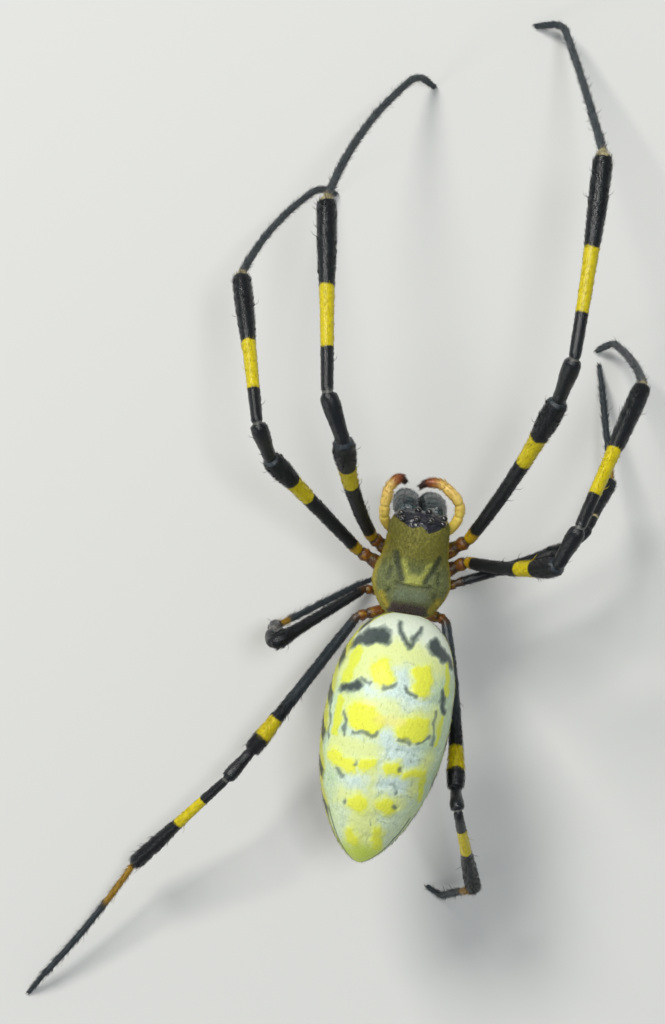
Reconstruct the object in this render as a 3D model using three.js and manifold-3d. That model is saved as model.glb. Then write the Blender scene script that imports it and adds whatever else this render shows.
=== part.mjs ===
// An adult female golden silk orb weaver at life size, standing on its eight feet with its long front legs
// stretched ahead. Millimetres. +X is the spider's right, +Y is the way it faces, +Z is up from the floor.
// The body is worked out from the pedicel, the waist at x = 0, y = 0. At the end the whole group is shifted,
// so that its origin is on the floor, in the middle of what the animal covers.
import * as THREE from "three";
import { mergeVertices } from "three/addons/utils/BufferGeometryUtils.js";
import Module from "manifold-3d";

const wasm = await Module();
wasm.setup();

// Clearances
const GAP = 0.3;
const EYE_GAP = 0.14;
const MIDLINE_GAP = 0.15;

// Front half of the body, seen from above and from the side
const HEAD_REAR = -0.3;
const HEAD_FRONT = 7.0;
const RIM_HEIGHT = 10.2;
const HIP_HEIGHT = 9.4;
const SOCKET_HEIGHT = 8.75;
const SOCKET_REACH = 0.9;
const SOCKET_PLACES = { 1: 3.6, 2: 2.5, 3: 1.4, 4: 0.35 };
const CORE = { centre: [0, 2.75, 9.45], size: [1.15, 2.9, 0.95] };
const STERNUM = { rear: 0.35, front: 5.4, height: 8.05 };
const HEAD_LEAN = 6;

// Rear half of the body
const ABDOMEN = {
  front: 0.34,
  length: 16.5,
  widest: 7.2,
  halfWidth: 4.12,
  up: 3.9,
  down: 4.1,
  height: 14.6,
  turn: 2.3,
};
const FRONT_DROP = 1.4;
const TAIL_DROP = 1.0;
const PEDICEL_RADIUS = 0.45;

// Face
const EYE_RADIUS = 0.24;
const EYE_SUNK = 0.06;
const HEAD_MIDDLE = [0, 5.7, 10.4];
const CHELICERA = { top: [0.9, 6.75, 10.25], tip: [0.82, 7.55, 6.75], forward: 0.05 };

// Lengths of the pieces of each pair of legs, from the hip out, and how stout the pair is
const LEG_LENGTHS = {
  1: { femur: 13.2, patella: 3.35, tibia: 13.4, metatarsus: 18.6, tarsus: 2.7, stout: 1 },
  2: { femur: 10.9, patella: 3.0, tibia: 11.05, metatarsus: 14.2, tarsus: 2.2, stout: 0.96 },
  3: { femur: 7.6, patella: 2.2, tibia: 4.6, metatarsus: 7.7, tarsus: 1.8, stout: 0.74 },
  4: { femur: 11.65, patella: 2.5, tibia: 9.3, metatarsus: 10.6, tarsus: 2.2, stout: 0.8 },
};
const PIECES = ["femur", "patella", "tibia", "metatarsus", "tarsus"];

// The pose. The hip is where the femur starts. Each piece has its heading in degrees out from straight ahead,
// its rise in degrees above level, and a sideways bow in mm. The metatarsus has no rise of its own: it drops
// so that the foot comes down on the floor. The right hind foot is short, as one that grew again.
const LEGS = [
  {
    name: "left_1",
    pair: 1,
    hip: [-2.95, 4.73],
    femur: [26.5, 61.5, 0.33],
    patella: [27, 17, 0],
    tibia: [9, -22.3, 0],
    metatarsus: [-23.5, null, 0.72],
    tarsus: [-108, -58.5, 0],
  },
  {
    name: "left_2",
    pair: 2,
    hip: [-3.65, 3.69],
    femur: [52.5, 41, 0],
    patella: [28.5, 39.5, 0],
    tibia: [15.5, -28, 0],
    metatarsus: [-28, null, 0.55],
    tarsus: [-96, -55.5, 0],
  },
  {
    name: "left_3",
    pair: 3,
    hip: [-2.95, 1.28],
    femur: [129.5, 22, 0],
    patella: [7, -69.5, 0],
    tibia: [-31, -85.5, 0],
    metatarsus: [-55.5, null, 0],
    tarsus: [-60.5, -40.5, 0],
  },
  {
    name: "left_4",
    pair: 4,
    hip: [-3.13, -0.53],
    femur: [151, -11, 0],
    patella: [147, 13.5, 0],
    tibia: [142, -21.5, 0],
    metatarsus: [150, null, 0.2],
    tarsus: [149.5, -30.5, 0],
  },
  {
    name: "right_1",
    pair: 1,
    hip: [3.28, 5.44],
    femur: [22.5, 38, 0.28],
    patella: [9.5, 36.5, 0],
    tibia: [0, -10, 0.1],
    metatarsus: [-17, null, 0.1],
    tarsus: [-95.5, -44, 0],
  },
  {
    name: "right_2",
    pair: 2,
    hip: [3.45, 4.06],
    femur: [82.5, 61, 0.3],
    patella: [19.5, 24.5, 0],
    tibia: [17, -24.5, 0],
    metatarsus: [-21.5, null, 0.33],
    tarsus: [-126.5, -56.5, 0],
  },
  {
    name: "right_3",
    pair: 3,
    hip: [3.01, 2.6],
    femur: [64.5, -8, 0],
    patella: [38, -12.5, 0],
    tibia: [19.5, -39.5, 0],
    metatarsus: [-11.5, null, 0],
    tarsus: [-14, -30, 0],
  },
  {
    name: "right_4",
    pair: 4,
    hip: [2.62, 0.1],
    footLength: 0.77,
    femur: [168.5, 22.5, -0.25],
    patella: [168.5, 62.5, 0],
    tibia: [158.5, -50, 0],
    metatarsus: [-133.5, null, 0.1],
    tarsus: [-67.5, -41, 0],
  },
];

// Radii of the pieces of a front leg along their length, and the least radius of the long shin
const RADII = {
  coxa: [[0, 0.5], [0.4, 0.56], [0.66, 0.52], [0.74, 0.44], [0.86, 0.52], [1, 0.43]],
  femur: [[0, 0.46], [0.3, 0.5], [0.55, 0.54], [0.74, 0.6], [0.88, 0.74], [1, 0.7]],
  patella: [[0, 0.52], [0.3, 0.54], [0.68, 0.65], [0.88, 0.62], [1, 0.5]],
  tibia: [
    [0, 0.44], [0.12, 0.46], [0.35, 0.5], [0.52, 0.54], [0.64, 0.62], [0.85, 0.67], [0.96, 0.64], [1, 0.56],
  ],
  metatarsus: [[0, 0.31], [0.1, 0.29], [0.35, 0.27], [1, 0.25]],
  tarsus: [[0, 0.25], [0.5, 0.24], [1, 0.16]],
};
const SHIN_RADIUS = 0.24;

// Colours
const BLACK = { color: 0x15171b, roughness: 0.3 };
const SLATE = { color: 0x2b2f33, roughness: 0.5 };
const RUST = { color: 0x8a3f16, roughness: 0.45 };
const OLIVE = { color: 0x6f6a2a, roughness: 0.7 };
const UMBER = { color: 0x4a3418, roughness: 0.5 };
const AMBER = { color: 0xd98a26, roughness: 0.5 };
const CREAM = { color: 0xd3dccb, roughness: 0.55 };
const EYE = { color: 0x0b0b0d, roughness: 0.08 };

const vec = (x, y, z) => new THREE.Vector3(x, y, z);
const radians = THREE.MathUtils.degToRad;

// A smooth line through [place, value] stations, with places from 0 to 1.
function profile(stations) {
  const places = stations.map(([place]) => place);
  const values = stations.map(([, value]) => value);
  const spline = new THREE.CubicInterpolant(places, values, 1);
  return (place) => spline.evaluate(THREE.MathUtils.clamp(place, 0, 1))[0];
}

// A manifold solid of a closed geometry, turned right side out if a mirrored shape came inside out.
function solidOf(geometry) {
  geometry.deleteAttribute("normal");
  geometry.deleteAttribute("uv");
  const merged = mergeVertices(geometry, 1e-5);
  const vertProperties = merged.getAttribute("position").array;
  const triVerts = new Uint32Array(merged.index.array);
  const build = () => new wasm.Manifold(new wasm.Mesh({ numProp: 3, vertProperties, triVerts }));
  if (build().volume() < 0) {
    for (let i = 0; i < triVerts.length; i += 3) {
      const second = triVerts[i + 1];
      triVerts[i + 1] = triVerts[i + 2];
      triVerts[i + 2] = second;
    }
  }
  return build();
}

// A closed solid of rings: a cylinder's wall and two end discs, each point at place(along, around, out).
// Along runs from 0 to 1, around is an angle, and out is 1 on the wall and 0 in the middle of an end disc.
function loft(rings, sides, place) {
  const shape = new THREE.CylinderGeometry(1, 1, 1, sides, rings);
  const points = shape.getAttribute("position");
  for (let i = 0; i < points.count; i++) {
    const along = points.getY(i) + 0.5;
    const around = Math.atan2(points.getX(i), points.getZ(i));
    const out = Math.hypot(points.getX(i), points.getZ(i)) > 0.5 ? 1 : 0;
    points.setXYZ(i, ...place(along, around, out));
  }
  return solidOf(shape);
}

// An ellipsoid with its poles along Z.
function ellipsoid(centre, size, sides, rings) {
  const ball = new THREE.SphereGeometry(1, sides, rings).rotateX(Math.PI / 2);
  return solidOf(ball.scale(...size).translate(...centre));
}

// The largest body of a solid that a cut may have left in several.
function largest(solid) {
  const bodies = solid.decompose();
  return bodies.reduce((a, b) => (b.volume() > a.volume() ? b : a));
}

function meshOf(name, solid, look) {
  const { numProp, numVert, vertProperties, triVerts } = solid.getMesh();
  const points = new Float32Array(numVert * 3);
  for (let i = 0; i < numVert; i++) {
    points.set(vertProperties.subarray(i * numProp, i * numProp + 3), i * 3);
  }
  const geometry = new THREE.BufferGeometry();
  geometry.setAttribute("position", new THREE.BufferAttribute(points, 3));
  geometry.setIndex(new THREE.BufferAttribute(triVerts, 1));
  geometry.computeVertexNormals();
  const mesh = new THREE.Mesh(geometry, new THREE.MeshStandardMaterial({ metalness: 0, ...look }));
  mesh.name = name;
  return mesh;
}

// One straight piece of a limb, as a place function for loft. Its end rings lie in planes facing startFacing
// and endFacing, startClear and endClear short of its two joints, so that pieces meet face to face at a bend.
function limbPiece({ from, to, startFacing, endFacing, startClear, endClear, radius, bow, side }) {
  const run = to.clone().sub(from);
  const axis = run.clone().normalize();
  const up = axis.clone().cross(side);
  const ring = (place, around, out) => {
    const reach = radius(place) * out;
    const point = side.clone().multiplyScalar(Math.cos(around) * reach);
    return point.addScaledVector(up, Math.sin(around) * reach);
  };
  return (along, around, out) => {
    const start = (startClear - ring(0, around, out).dot(startFacing)) / axis.dot(startFacing);
    const end = run.length() - (endClear + ring(1, around, out).dot(endFacing)) / axis.dot(endFacing);
    const point = from.clone().addScaledVector(axis, THREE.MathUtils.lerp(start, end, along));
    point.addScaledVector(side, bow * 4 * along * (1 - along));
    return point.add(ring(along, around, out));
  };
}

// A round limb along a curve, with the radius that radiusAt gives.
function curvedLimb(curve, rings, sides, radiusAt) {
  const frames = curve.computeFrenetFrames(rings);
  return loft(rings, sides, (along, around, out) => {
    const i = Math.round(along * rings);
    const reach = radiusAt(along) * out;
    const point = curve.getPointAt(along);
    point.addScaledVector(frames.normals[i], Math.cos(around) * reach);
    return point.addScaledVector(frames.binormals[i], Math.sin(around) * reach);
  });
}

// The shield over the front half of the body: a dome of varied width and height, shallow beneath.
const shieldWidth = profile([
  [0, 0.9], [0.06, 1.55], [0.14, 2.05], [0.33, 2.62], [0.45, 2.5], [0.58, 2.22], [0.77, 2.05], [0.88, 1.96],
  [0.96, 1.68], [1, 1.15],
]);
const shieldTop = profile([
  [0, 0.3], [0.14, 0.95], [0.3, 1.4], [0.45, 1.55], [0.6, 1.95], [0.78, 2.2], [0.9, 1.95], [0.97, 1.5],
  [1, 1.0],
]);
const shieldUnder = profile([[0, 0.2], [0.3, 0.3], [0.8, 0.5], [1, 0.4]]);

// The front half of the body leans a little to its right about the line of the shield's rim.
function leaned(solid) {
  return solid.translate(0, 0, -RIM_HEIGHT).rotate(0, HEAD_LEAN, 0).translate(0, 0, RIM_HEIGHT);
}

function shield(grow) {
  const middle = (HEAD_REAR + HEAD_FRONT) / 2;
  const half = (HEAD_FRONT - HEAD_REAR) / 2;
  const dome = loft(22, 26, (along, around, out) => {
    const swing = -Math.cos(Math.PI * along);
    const place = (swing + 1) / 2;
    const rise = Math.cos(around);
    const height = (rise > 0 ? shieldTop(place) : shieldUnder(place)) + grow;
    const x = (shieldWidth(place) + grow) * Math.sin(around) * out;
    return vec(x, middle + swing * (half + grow), RIM_HEIGHT + height * rise * out);
  });
  return leaned(dome);
}

function core(grow) {
  return leaned(ellipsoid(CORE.centre, CORE.size.map((s) => s + grow), 16, 10));
}

// The chest plate under the front half, a heart with the lip ahead of it.
const sternumWidth = profile([
  [0, 0.3], [0.2, 0.7], [0.5, 1.12], [0.7, 1.05], [0.82, 0.66], [0.88, 0.32], [1, 0.22],
]);

function sternum(grow) {
  const plate = loft(12, 12, (along, around, out) => {
    const thick = (Math.cos(around) > 0 ? 0.14 : 0.3) + grow;
    const x = (sternumWidth(along) + grow) * Math.sin(around) * out;
    const y = THREE.MathUtils.lerp(STERNUM.rear - grow, STERNUM.front + grow, along);
    return vec(x, y, STERNUM.height + thick * Math.cos(around) * out);
  });
  return leaned(plate);
}

// The front half of the body with the clearance that its neighbours keep.
const headGrown = () => shield(GAP).add(core(GAP)).add(sternum(GAP));

// How full the abdomen is at a distance behind its front: blunt ahead of the widest place, then drawn out.
function fullness(behind) {
  const { widest, length } = ABDOMEN;
  if (behind < widest) return (1 - (1 - behind / widest) ** 2.6) ** 0.42;
  return (1 - ((behind - widest) / (length - widest)) ** 2) ** 0.66;
}

// The middle line of the abdomen: high at the widest place, lower towards the waist and the tail.
function abdomenMiddle(behind) {
  const { front, widest, length, height, turn } = ABDOMEN;
  const ahead = Math.max(0, 1 - behind / widest);
  const after = Math.max(0, (behind - widest) / (length - widest));
  const z = height - FRONT_DROP * ahead ** 2 - TAIL_DROP * after ** 2;
  return vec(-behind * Math.sin(radians(turn)), front - behind * Math.cos(radians(turn)), z);
}

function abdomen(grow) {
  const end = 0.004;
  return loft(26, 28, (along, around, out) => {
    const place = THREE.MathUtils.lerp(end, 1 - end, (1 - Math.cos(Math.PI * along)) / 2);
    const behind = place * ABDOMEN.length;
    const middle = abdomenMiddle(behind);
    middle.y += grow * Math.cos(Math.PI * along);
    const height = Math.cos(around) > 0 ? ABDOMEN.up : ABDOMEN.down;
    const full = fullness(behind);
    middle.x += (ABDOMEN.halfWidth * full + grow) * Math.sin(around) * out;
    middle.z += (height * full + grow) * Math.cos(around) * out;
    return middle;
  });
}

// The waist, cut to fit between the two halves of the body.
function pedicel() {
  const from = vec(0, 0.6, 9.9);
  const to = abdomenMiddle(2.6).setZ(11.6);
  const line = new THREE.LineCurve3(from, to);
  return largest(curvedLimb(line, 3, 12, () => PEDICEL_RADIUS).subtract(shield(GAP)).subtract(abdomen(GAP)));
}

// Three pairs of short blunt cones on one low mound, under the tail.
function spinnerets() {
  const seat = abdomenMiddle(14.3).setZ(11.5);
  const mound = ellipsoid([seat.x, seat.y, seat.z], [0.95, 1.0, 0.75], 14, 8);
  const cones = [];
  for (const [ahead, spread, length] of [[0.35, 0.42, 1.5], [-0.05, 0.22, 1.15], [-0.5, 0.38, 1.55]]) {
    for (const side of [-1, 1]) {
      const root = seat.clone().add(vec(side * spread, ahead, -0.2));
      const tip = root.clone().add(vec(side * 0.05, -0.35, -length + 0.35));
      const radius = profile([[0, 0.32], [0.6, 0.29], [1, 0.14]]);
      cones.push(curvedLimb(new THREE.LineCurve3(root, tip), 3, 8, radius));
    }
  }
  const cluster = cones.reduce((all, cone) => all.add(cone), mound);
  return largest(cluster.subtract(abdomen(GAP)));
}

// Eight eyes in two rows, each where a ray from the middle of the head meets the shield.
const EYES = {
  front_middle: { turn: 17, lift: 32 },
  rear_middle: { turn: 36, lift: 64 },
  front_side: { turn: 57, lift: 22 },
  rear_side: { turn: 68, lift: 38 },
};

function eyeCentres() {
  const target = meshOf("head", shield(0), EYE);
  target.material.side = THREE.DoubleSide;
  const centres = {};
  for (const [row, { turn, lift }] of Object.entries(EYES)) {
    for (const [hand, side] of [["left", -1], ["right", 1]]) {
      const flat = Math.cos(radians(lift));
      const [aside, ahead] = [Math.sin(radians(turn)) * flat, Math.cos(radians(turn)) * flat];
      const way = vec(side * aside, ahead, Math.sin(radians(lift)));
      way.applyAxisAngle(vec(0, 1, 0), radians(HEAD_LEAN));
      const [hit] = new THREE.Raycaster(vec(...HEAD_MIDDLE), way).intersectObject(target);
      centres[`eye_${row}_${hand}`] = hit.point.addScaledVector(way, -EYE_SUNK);
    }
  }
  return centres;
}

// The stout base of a jaw: bulging under the eyes and drawn in to the fang, flat beside its neighbour.
function chelicera(side) {
  const top = vec(...CHELICERA.top);
  const tip = vec(...CHELICERA.tip);
  const radius = profile([[0, 0.55], [0.18, 0.85], [0.45, 0.95], [0.75, 0.82], [1, 0.5]]);
  const body = loft(9, 14, (along, around, out) => {
    const point = top.clone().lerp(tip, along);
    const reach = radius(along) * out;
    point.x = Math.max(MIDLINE_GAP, point.x + reach * Math.sin(around));
    point.y += reach * Math.cos(around) + CHELICERA.forward * 4 * along * (1 - along);
    point.x *= side;
    return point;
  });
  return largest(leaned(body).subtract(shield(GAP)));
}

function fang(side) {
  const { tip } = CHELICERA;
  const low = tip[2] - GAP;
  const hook = new THREE.QuadraticBezierCurve3(
    vec(side * (tip[0] + 0.08), tip[1] + 0.1, low - 0.1),
    vec(side * (tip[0] - 0.05), tip[1] - 0.05, low - 0.75),
    vec(side * 0.3, tip[1] - 0.75, low - 0.7),
  );
  return leaned(curvedLimb(hook, 6, 8, profile([[0, 0.26], [0.5, 0.2], [1, 0.07]])));
}

// The short leg-like feelers, curled in front of the jaws, each with the chewing lobe that it grows from.
const PALP_PATHS = {
  left: [
    [-1.0, 5.25, 8.45], [-1.75, 5.55, 9.1], [-2.28, 6.03, 9.68], [-2.46, 6.7, 10.2], [-2.48, 7.4, 10.5],
    [-2.38, 8.1, 10.6], [-2.05, 8.62, 10.6], [-1.7, 8.82, 10.55], [-1.35, 8.55, 10.45],
  ],
  right: [
    [1.0, 5.25, 8.45], [1.85, 5.7, 9.15], [2.42, 6.6, 9.85], [2.46, 7.4, 10.2], [2.12, 7.99, 10.5],
    [1.53, 8.45, 10.6], [0.95, 8.8, 10.6], [0.42, 8.83, 10.6], [-0.05, 8.72, 10.5], [-0.42, 8.4, 10.35],
  ],
};

function palp(hand, side) {
  const path = new THREE.CatmullRomCurve3(PALP_PATHS[hand].map((p) => vec(...p)));
  const radius = profile([[0, 0.3], [0.2, 0.35], [0.6, 0.37], [0.85, 0.32], [1, 0.15]]);
  const lobe = ellipsoid([side * 0.96, 5.36, 8.1], [0.4, 0.72, 0.42], 10, 8);
  const whole = curvedLimb(path, 18, 8, radius).add(lobe);
  return largest(leaned(whole).subtract(headGrown()));
}

// The joints of a leg from its socket to the tip of its foot, and the unit direction of each piece.
function legJoints(leg) {
  const lengths = LEG_LENGTHS[leg.pair];
  const foot = leg.footLength ?? 1;
  const side = Math.sign(leg.hip[0]);
  const socket = vec(side * SOCKET_REACH, SOCKET_PLACES[leg.pair], SOCKET_HEIGHT);
  const joints = [socket, vec(...leg.hip, HIP_HEIGHT)];
  for (const piece of PIECES) {
    const last = joints.at(-1);
    const inFoot = piece === "metatarsus" || piece === "tarsus";
    const length = lengths[piece] * (inFoot ? foot : 1);
    const [heading, rise] = leg[piece];
    const tarsusDrop = lengths.tarsus * foot * Math.sin(radians(leg.tarsus[1]));
    const slope = rise === null ? Math.asin((-last.z - tarsusDrop) / length) : radians(rise);
    const flat = length * Math.cos(slope);
    const x = side * Math.sin(radians(heading)) * flat;
    joints.push(last.clone().add(vec(x, Math.cos(radians(heading)) * flat, length * Math.sin(slope))));
  }
  const ways = joints.slice(1).map((joint, i) => joint.clone().sub(joints[i]).normalize());
  return { joints, ways, side };
}

// All the pieces of one leg. The metatarsus and the tarsus are one node, bent at their joint, with a flat
// where the foot is on the floor.
function legPieces(leg) {
  const { joints, ways, side } = legJoints(leg);
  const { stout } = LEG_LENGTHS[leg.pair];
  const facing = joints.map((_, i) => {
    const before = ways[Math.max(0, i - 1)];
    const after = ways[Math.min(ways.length - 1, i)];
    return before.clone().add(after).normalize();
  });
  const sideOf = (way) => vec(0, 0, 1).cross(way).normalize().multiplyScalar(-side);
  const piece = (name, i, startClear, endClear, across = sideOf(ways[i])) => {
    const least = name === "metatarsus" ? SHIN_RADIUS : 0;
    const radius = profile(RADII[name].map(([place, value]) => [place, Math.max(least, value * stout)]));
    return limbPiece({
      from: joints[i],
      to: joints[i + 1],
      startFacing: facing[i],
      endFacing: facing[i + 1],
      startClear,
      endClear,
      radius,
      bow: leg[name]?.[2] ?? 0,
      side: across,
    });
  };
  const half = GAP / 2;
  const solids = {
    coxa: loft(8, 10, piece("coxa", 0, 0, half)),
    femur: loft(8, 10, piece("femur", 1, half, half)),
    patella: loft(5, 10, piece("patella", 2, half, half)),
    tibia: loft(8, 10, piece("tibia", 3, half, half)),
  };
  const shin = sideOf(ways[4]);
  const turn = new THREE.Quaternion().setFromUnitVectors(ways[4], ways[5]);
  const upper = piece("metatarsus", 4, half, 0, shin);
  const lower = piece("tarsus", 5, 0, 0, shin.clone().applyQuaternion(turn));
  const bend = 0.75;
  solids.metatarsus = loft(12, 8, (along, around, out) => {
    const inShin = along <= bend + 1e-6;
    const point = inShin ? upper(along / bend, around, out) : lower((along - bend) / (1 - bend), around, out);
    point.z = Math.max(0, point.z);
    return point;
  });
  return solids;
}

const spider = new THREE.Group();
const add = (name, solid, look) => spider.add(meshOf(name, solid, look));

const eyes = eyeCentres();
const ball = (centre, radius, sides, rings) =>
  ellipsoid(centre.toArray(), [radius, radius, radius], sides, rings);
let carapace = shield(0).add(core(0));
for (const [name, centre] of Object.entries(eyes)) {
  carapace = carapace.subtract(ball(centre, EYE_RADIUS + EYE_GAP, 10, 6));
  add(name, ball(centre, EYE_RADIUS, 10, 8), EYE);
}
add("carapace", largest(carapace), OLIVE);
add("sternum", sternum(0), UMBER);
add("pedicel", pedicel(), UMBER);
add("abdomen", abdomen(0), CREAM);
add("spinnerets", spinnerets(), UMBER);
for (const [hand, side] of [["left", -1], ["right", 1]]) {
  add(`chelicera_${hand}`, chelicera(side), BLACK);
  add(`fang_${hand}`, fang(side), RUST);
  add(`palp_${hand}`, palp(hand, side), AMBER);
}

// Each coxa fits round the body's core and keeps clear of the coxa behind it.
const bodyGrown = headGrown();
const legSolids = LEGS.map(legPieces);
const LEG_LOOKS = { coxa: RUST, femur: BLACK, patella: BLACK, tibia: BLACK, metatarsus: SLATE };
LEGS.forEach((leg, i) => {
  const next = LEGS[i + 1];
  let coxa = legSolids[i].coxa.subtract(bodyGrown);
  if (next && next.pair === leg.pair + 1) {
    const { joints } = legJoints(next);
    const line = new THREE.LineCurve3(joints[0], joints[1]);
    const radius = profile(RADII.coxa);
    const { stout } = LEG_LENGTHS[next.pair];
    coxa = coxa.subtract(curvedLimb(line, 8, 12, (along) => radius(along) * stout + GAP));
  }
  legSolids[i].coxa = largest(coxa);
  for (const [piece, look] of Object.entries(LEG_LOOKS)) {
    add(`leg_${leg.name}_${piece}`, legSolids[i][piece], look);
  }
});

// The origin goes on the floor, under the middle of the whole animal.
const reach = new THREE.Box3().setFromObject(spider);
const middle = reach.getCenter(vec(0, 0, 0));
spider.position.set(-middle.x, -middle.y, -reach.min.z);

export default spider;
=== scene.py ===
"""A golden silk orb weaver at life size: skins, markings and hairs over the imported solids.

Lengths are in millimetres from the spider's waist until a mesh is made. +X is the spider's right, +Y is the
way it faces, +Z is up, and the floor is z = 0.
"""
import math

import bpy
import numpy as np
from mathutils import Matrix, Vector


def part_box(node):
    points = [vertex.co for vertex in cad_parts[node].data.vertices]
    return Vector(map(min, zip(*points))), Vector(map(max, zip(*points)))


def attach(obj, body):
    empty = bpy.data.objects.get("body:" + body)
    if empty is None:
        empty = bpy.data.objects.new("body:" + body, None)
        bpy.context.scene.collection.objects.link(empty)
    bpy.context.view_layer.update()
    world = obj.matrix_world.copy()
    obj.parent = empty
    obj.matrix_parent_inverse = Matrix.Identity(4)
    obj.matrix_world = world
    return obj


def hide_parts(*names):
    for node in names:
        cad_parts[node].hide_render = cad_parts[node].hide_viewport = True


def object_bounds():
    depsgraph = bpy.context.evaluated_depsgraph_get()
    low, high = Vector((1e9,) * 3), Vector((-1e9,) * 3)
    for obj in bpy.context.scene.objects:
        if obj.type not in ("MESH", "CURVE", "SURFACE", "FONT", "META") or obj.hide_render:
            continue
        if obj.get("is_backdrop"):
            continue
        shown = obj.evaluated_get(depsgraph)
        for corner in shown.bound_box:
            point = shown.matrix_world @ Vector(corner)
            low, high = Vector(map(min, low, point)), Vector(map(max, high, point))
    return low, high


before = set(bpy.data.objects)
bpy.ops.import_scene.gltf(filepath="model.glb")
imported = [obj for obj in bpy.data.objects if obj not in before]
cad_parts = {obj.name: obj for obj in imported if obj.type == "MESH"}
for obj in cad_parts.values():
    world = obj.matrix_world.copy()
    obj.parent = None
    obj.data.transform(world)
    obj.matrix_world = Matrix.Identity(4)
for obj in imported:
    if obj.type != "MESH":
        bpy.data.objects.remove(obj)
cad_low, cad_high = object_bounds()
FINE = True
WAIST = np.array([4.211, -5.696, 0.0])
MM = 0.001

# How deep a skin lies inside its solid: on the body, under the hairs of a leg, and how much less on a foot
INSET, COAT, FOOT_THINNER = 0.03, 0.06, 0.4

# Front half of the body
HEAD_REAR, HEAD_FRONT = -0.3, 7.0
RIM_HEIGHT, HIP_HEIGHT, SOCKET_HEIGHT, SOCKET_REACH = 10.2, 9.4, 8.75, 0.9
SOCKET_PLACES = {1: 3.6, 2: 2.5, 3: 1.4, 4: 0.35}
HEAD_LEAN = 6
JAW_TOP, JAW_TIP, JAW_FORWARD = np.array((0.9, 6.75, 10.25)), np.array((0.82, 7.55, 6.75)), 0.05

# Rear half of the body
FRONT, LENGTH, WIDEST, HALF_WIDTH, UP, DOWN, HEIGHT, TURN = 0.34, 16.5, 7.2, 4.12, 3.9, 4.1, 14.6, 2.3
FRONT_DROP, TAIL_DROP = 1.4, 1.0

# Legs: lengths and stoutness of each pair, then each leg's pair and hip and its pieces' heading, rise and bow
PIECES = ("coxa", "femur", "patella", "tibia", "metatarsus", "tarsus")
LEG_LENGTHS = {
    1: ((13.2, 3.35, 13.4, 18.6, 2.7), 1.0),
    2: ((10.9, 3.0, 11.05, 14.2, 2.2), 0.96),
    3: ((7.6, 2.2, 4.6, 7.7, 1.8), 0.74),
    4: ((11.65, 2.5, 9.3, 10.6, 2.2), 0.8),
}
LEGS = {
    "left_1": (1, (-2.95, 4.73),
               (26.5, 61.5, 0.33), (27, 17, 0), (9, -22.3, 0), (-23.5, None, 0.72), (-108, -58.5, 0)),
    "left_2": (2, (-3.65, 3.69),
               (52.5, 41, 0), (28.5, 39.5, 0), (15.5, -28, 0), (-28, None, 0.55), (-96, -55.5, 0)),
    "left_3": (3, (-2.95, 1.28),
               (129.5, 22, 0), (7, -69.5, 0), (-31, -85.5, 0), (-55.5, None, 0), (-60.5, -40.5, 0)),
    "left_4": (4, (-3.13, -0.53),
               (151, -11, 0), (147, 13.5, 0), (142, -21.5, 0), (150, None, 0.2), (149.5, -30.5, 0)),
    "right_1": (1, (3.28, 5.44),
                (22.5, 38, 0.28), (9.5, 36.5, 0), (0, -10, 0.1), (-17, None, 0.1), (-95.5, -44, 0)),
    "right_2": (2, (3.45, 4.06),
                (82.5, 61, 0.3), (19.5, 24.5, 0), (17, -24.5, 0), (-21.5, None, 0.33), (-126.5, -56.5, 0)),
    "right_3": (3, (3.01, 2.6),
                (64.5, -8, 0), (38, -12.5, 0), (19.5, -39.5, 0), (-11.5, None, 0), (-14, -30, 0)),
    "right_4": (4, (2.62, 0.1),
                (168.5, 22.5, -0.25), (168.5, 62.5, 0), (158.5, -50, 0), (-133.5, None, 0.1),
                (-67.5, -41, 0)),
}
SHORT_FOOT = {"right_4": 0.77}
RADII = {
    "coxa": ((0, 0.5), (0.4, 0.56), (0.66, 0.52), (0.74, 0.44), (0.86, 0.52), (1, 0.43)),
    "femur": ((0, 0.46), (0.3, 0.5), (0.55, 0.54), (0.74, 0.6), (0.88, 0.74), (1, 0.7)),
    "patella": ((0, 0.52), (0.3, 0.54), (0.68, 0.65), (0.88, 0.62), (1, 0.5)),
    "tibia": ((0, 0.44), (0.12, 0.46), (0.35, 0.5), (0.52, 0.54), (0.64, 0.62), (0.85, 0.67), (0.96, 0.64),
              (1, 0.56)),
    "metatarsus": ((0, 0.31), (0.1, 0.29), (0.35, 0.27), (1, 0.25)),
    "tarsus": ((0, 0.25), (0.5, 0.24), (1, 0.16)),
}
SHIN_RADIUS, FOOT_CURVE, CLAW_LENGTH, CLAW_RADIUS = 0.24, 1.2, 0.24, 0.035

# A joint's neck: how much it draws in, and half its length; and half the step from one radius to the next
NECKS = {joint: (0.17, 0.13) if joint in (2, 3, 4) else (0.1, 0.13) for joint in range(1, 6)}
JOINT_STEP = 0.12

# A joint's bend: its least and most reach, the most of a piece that it takes, and its reach for its width
BEND_LEAST, BEND_MOST, BEND_SHARE, BEND_REACH = 0.2, 1.3, 0.42, 1.1

# A leg's skin: the step between its rings, the points of a ring, and its least height over the floor
LEG_STEP, LEG_SIDES = (0.09, 32) if FINE else (0.18, 14)
FLOOR_GAP = 0.01

# Hairs of the legs: how many to a millimetre, and the shares of spines and, on the feet, of long hairs
HAIRS_PER_MM, SPINE_SHARE, LONG_SHARE = 110, 0.008, 0.06
HAIR_RADIUS, SPINE_RADIUS = 0.011, 0.02

# Small sums


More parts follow.
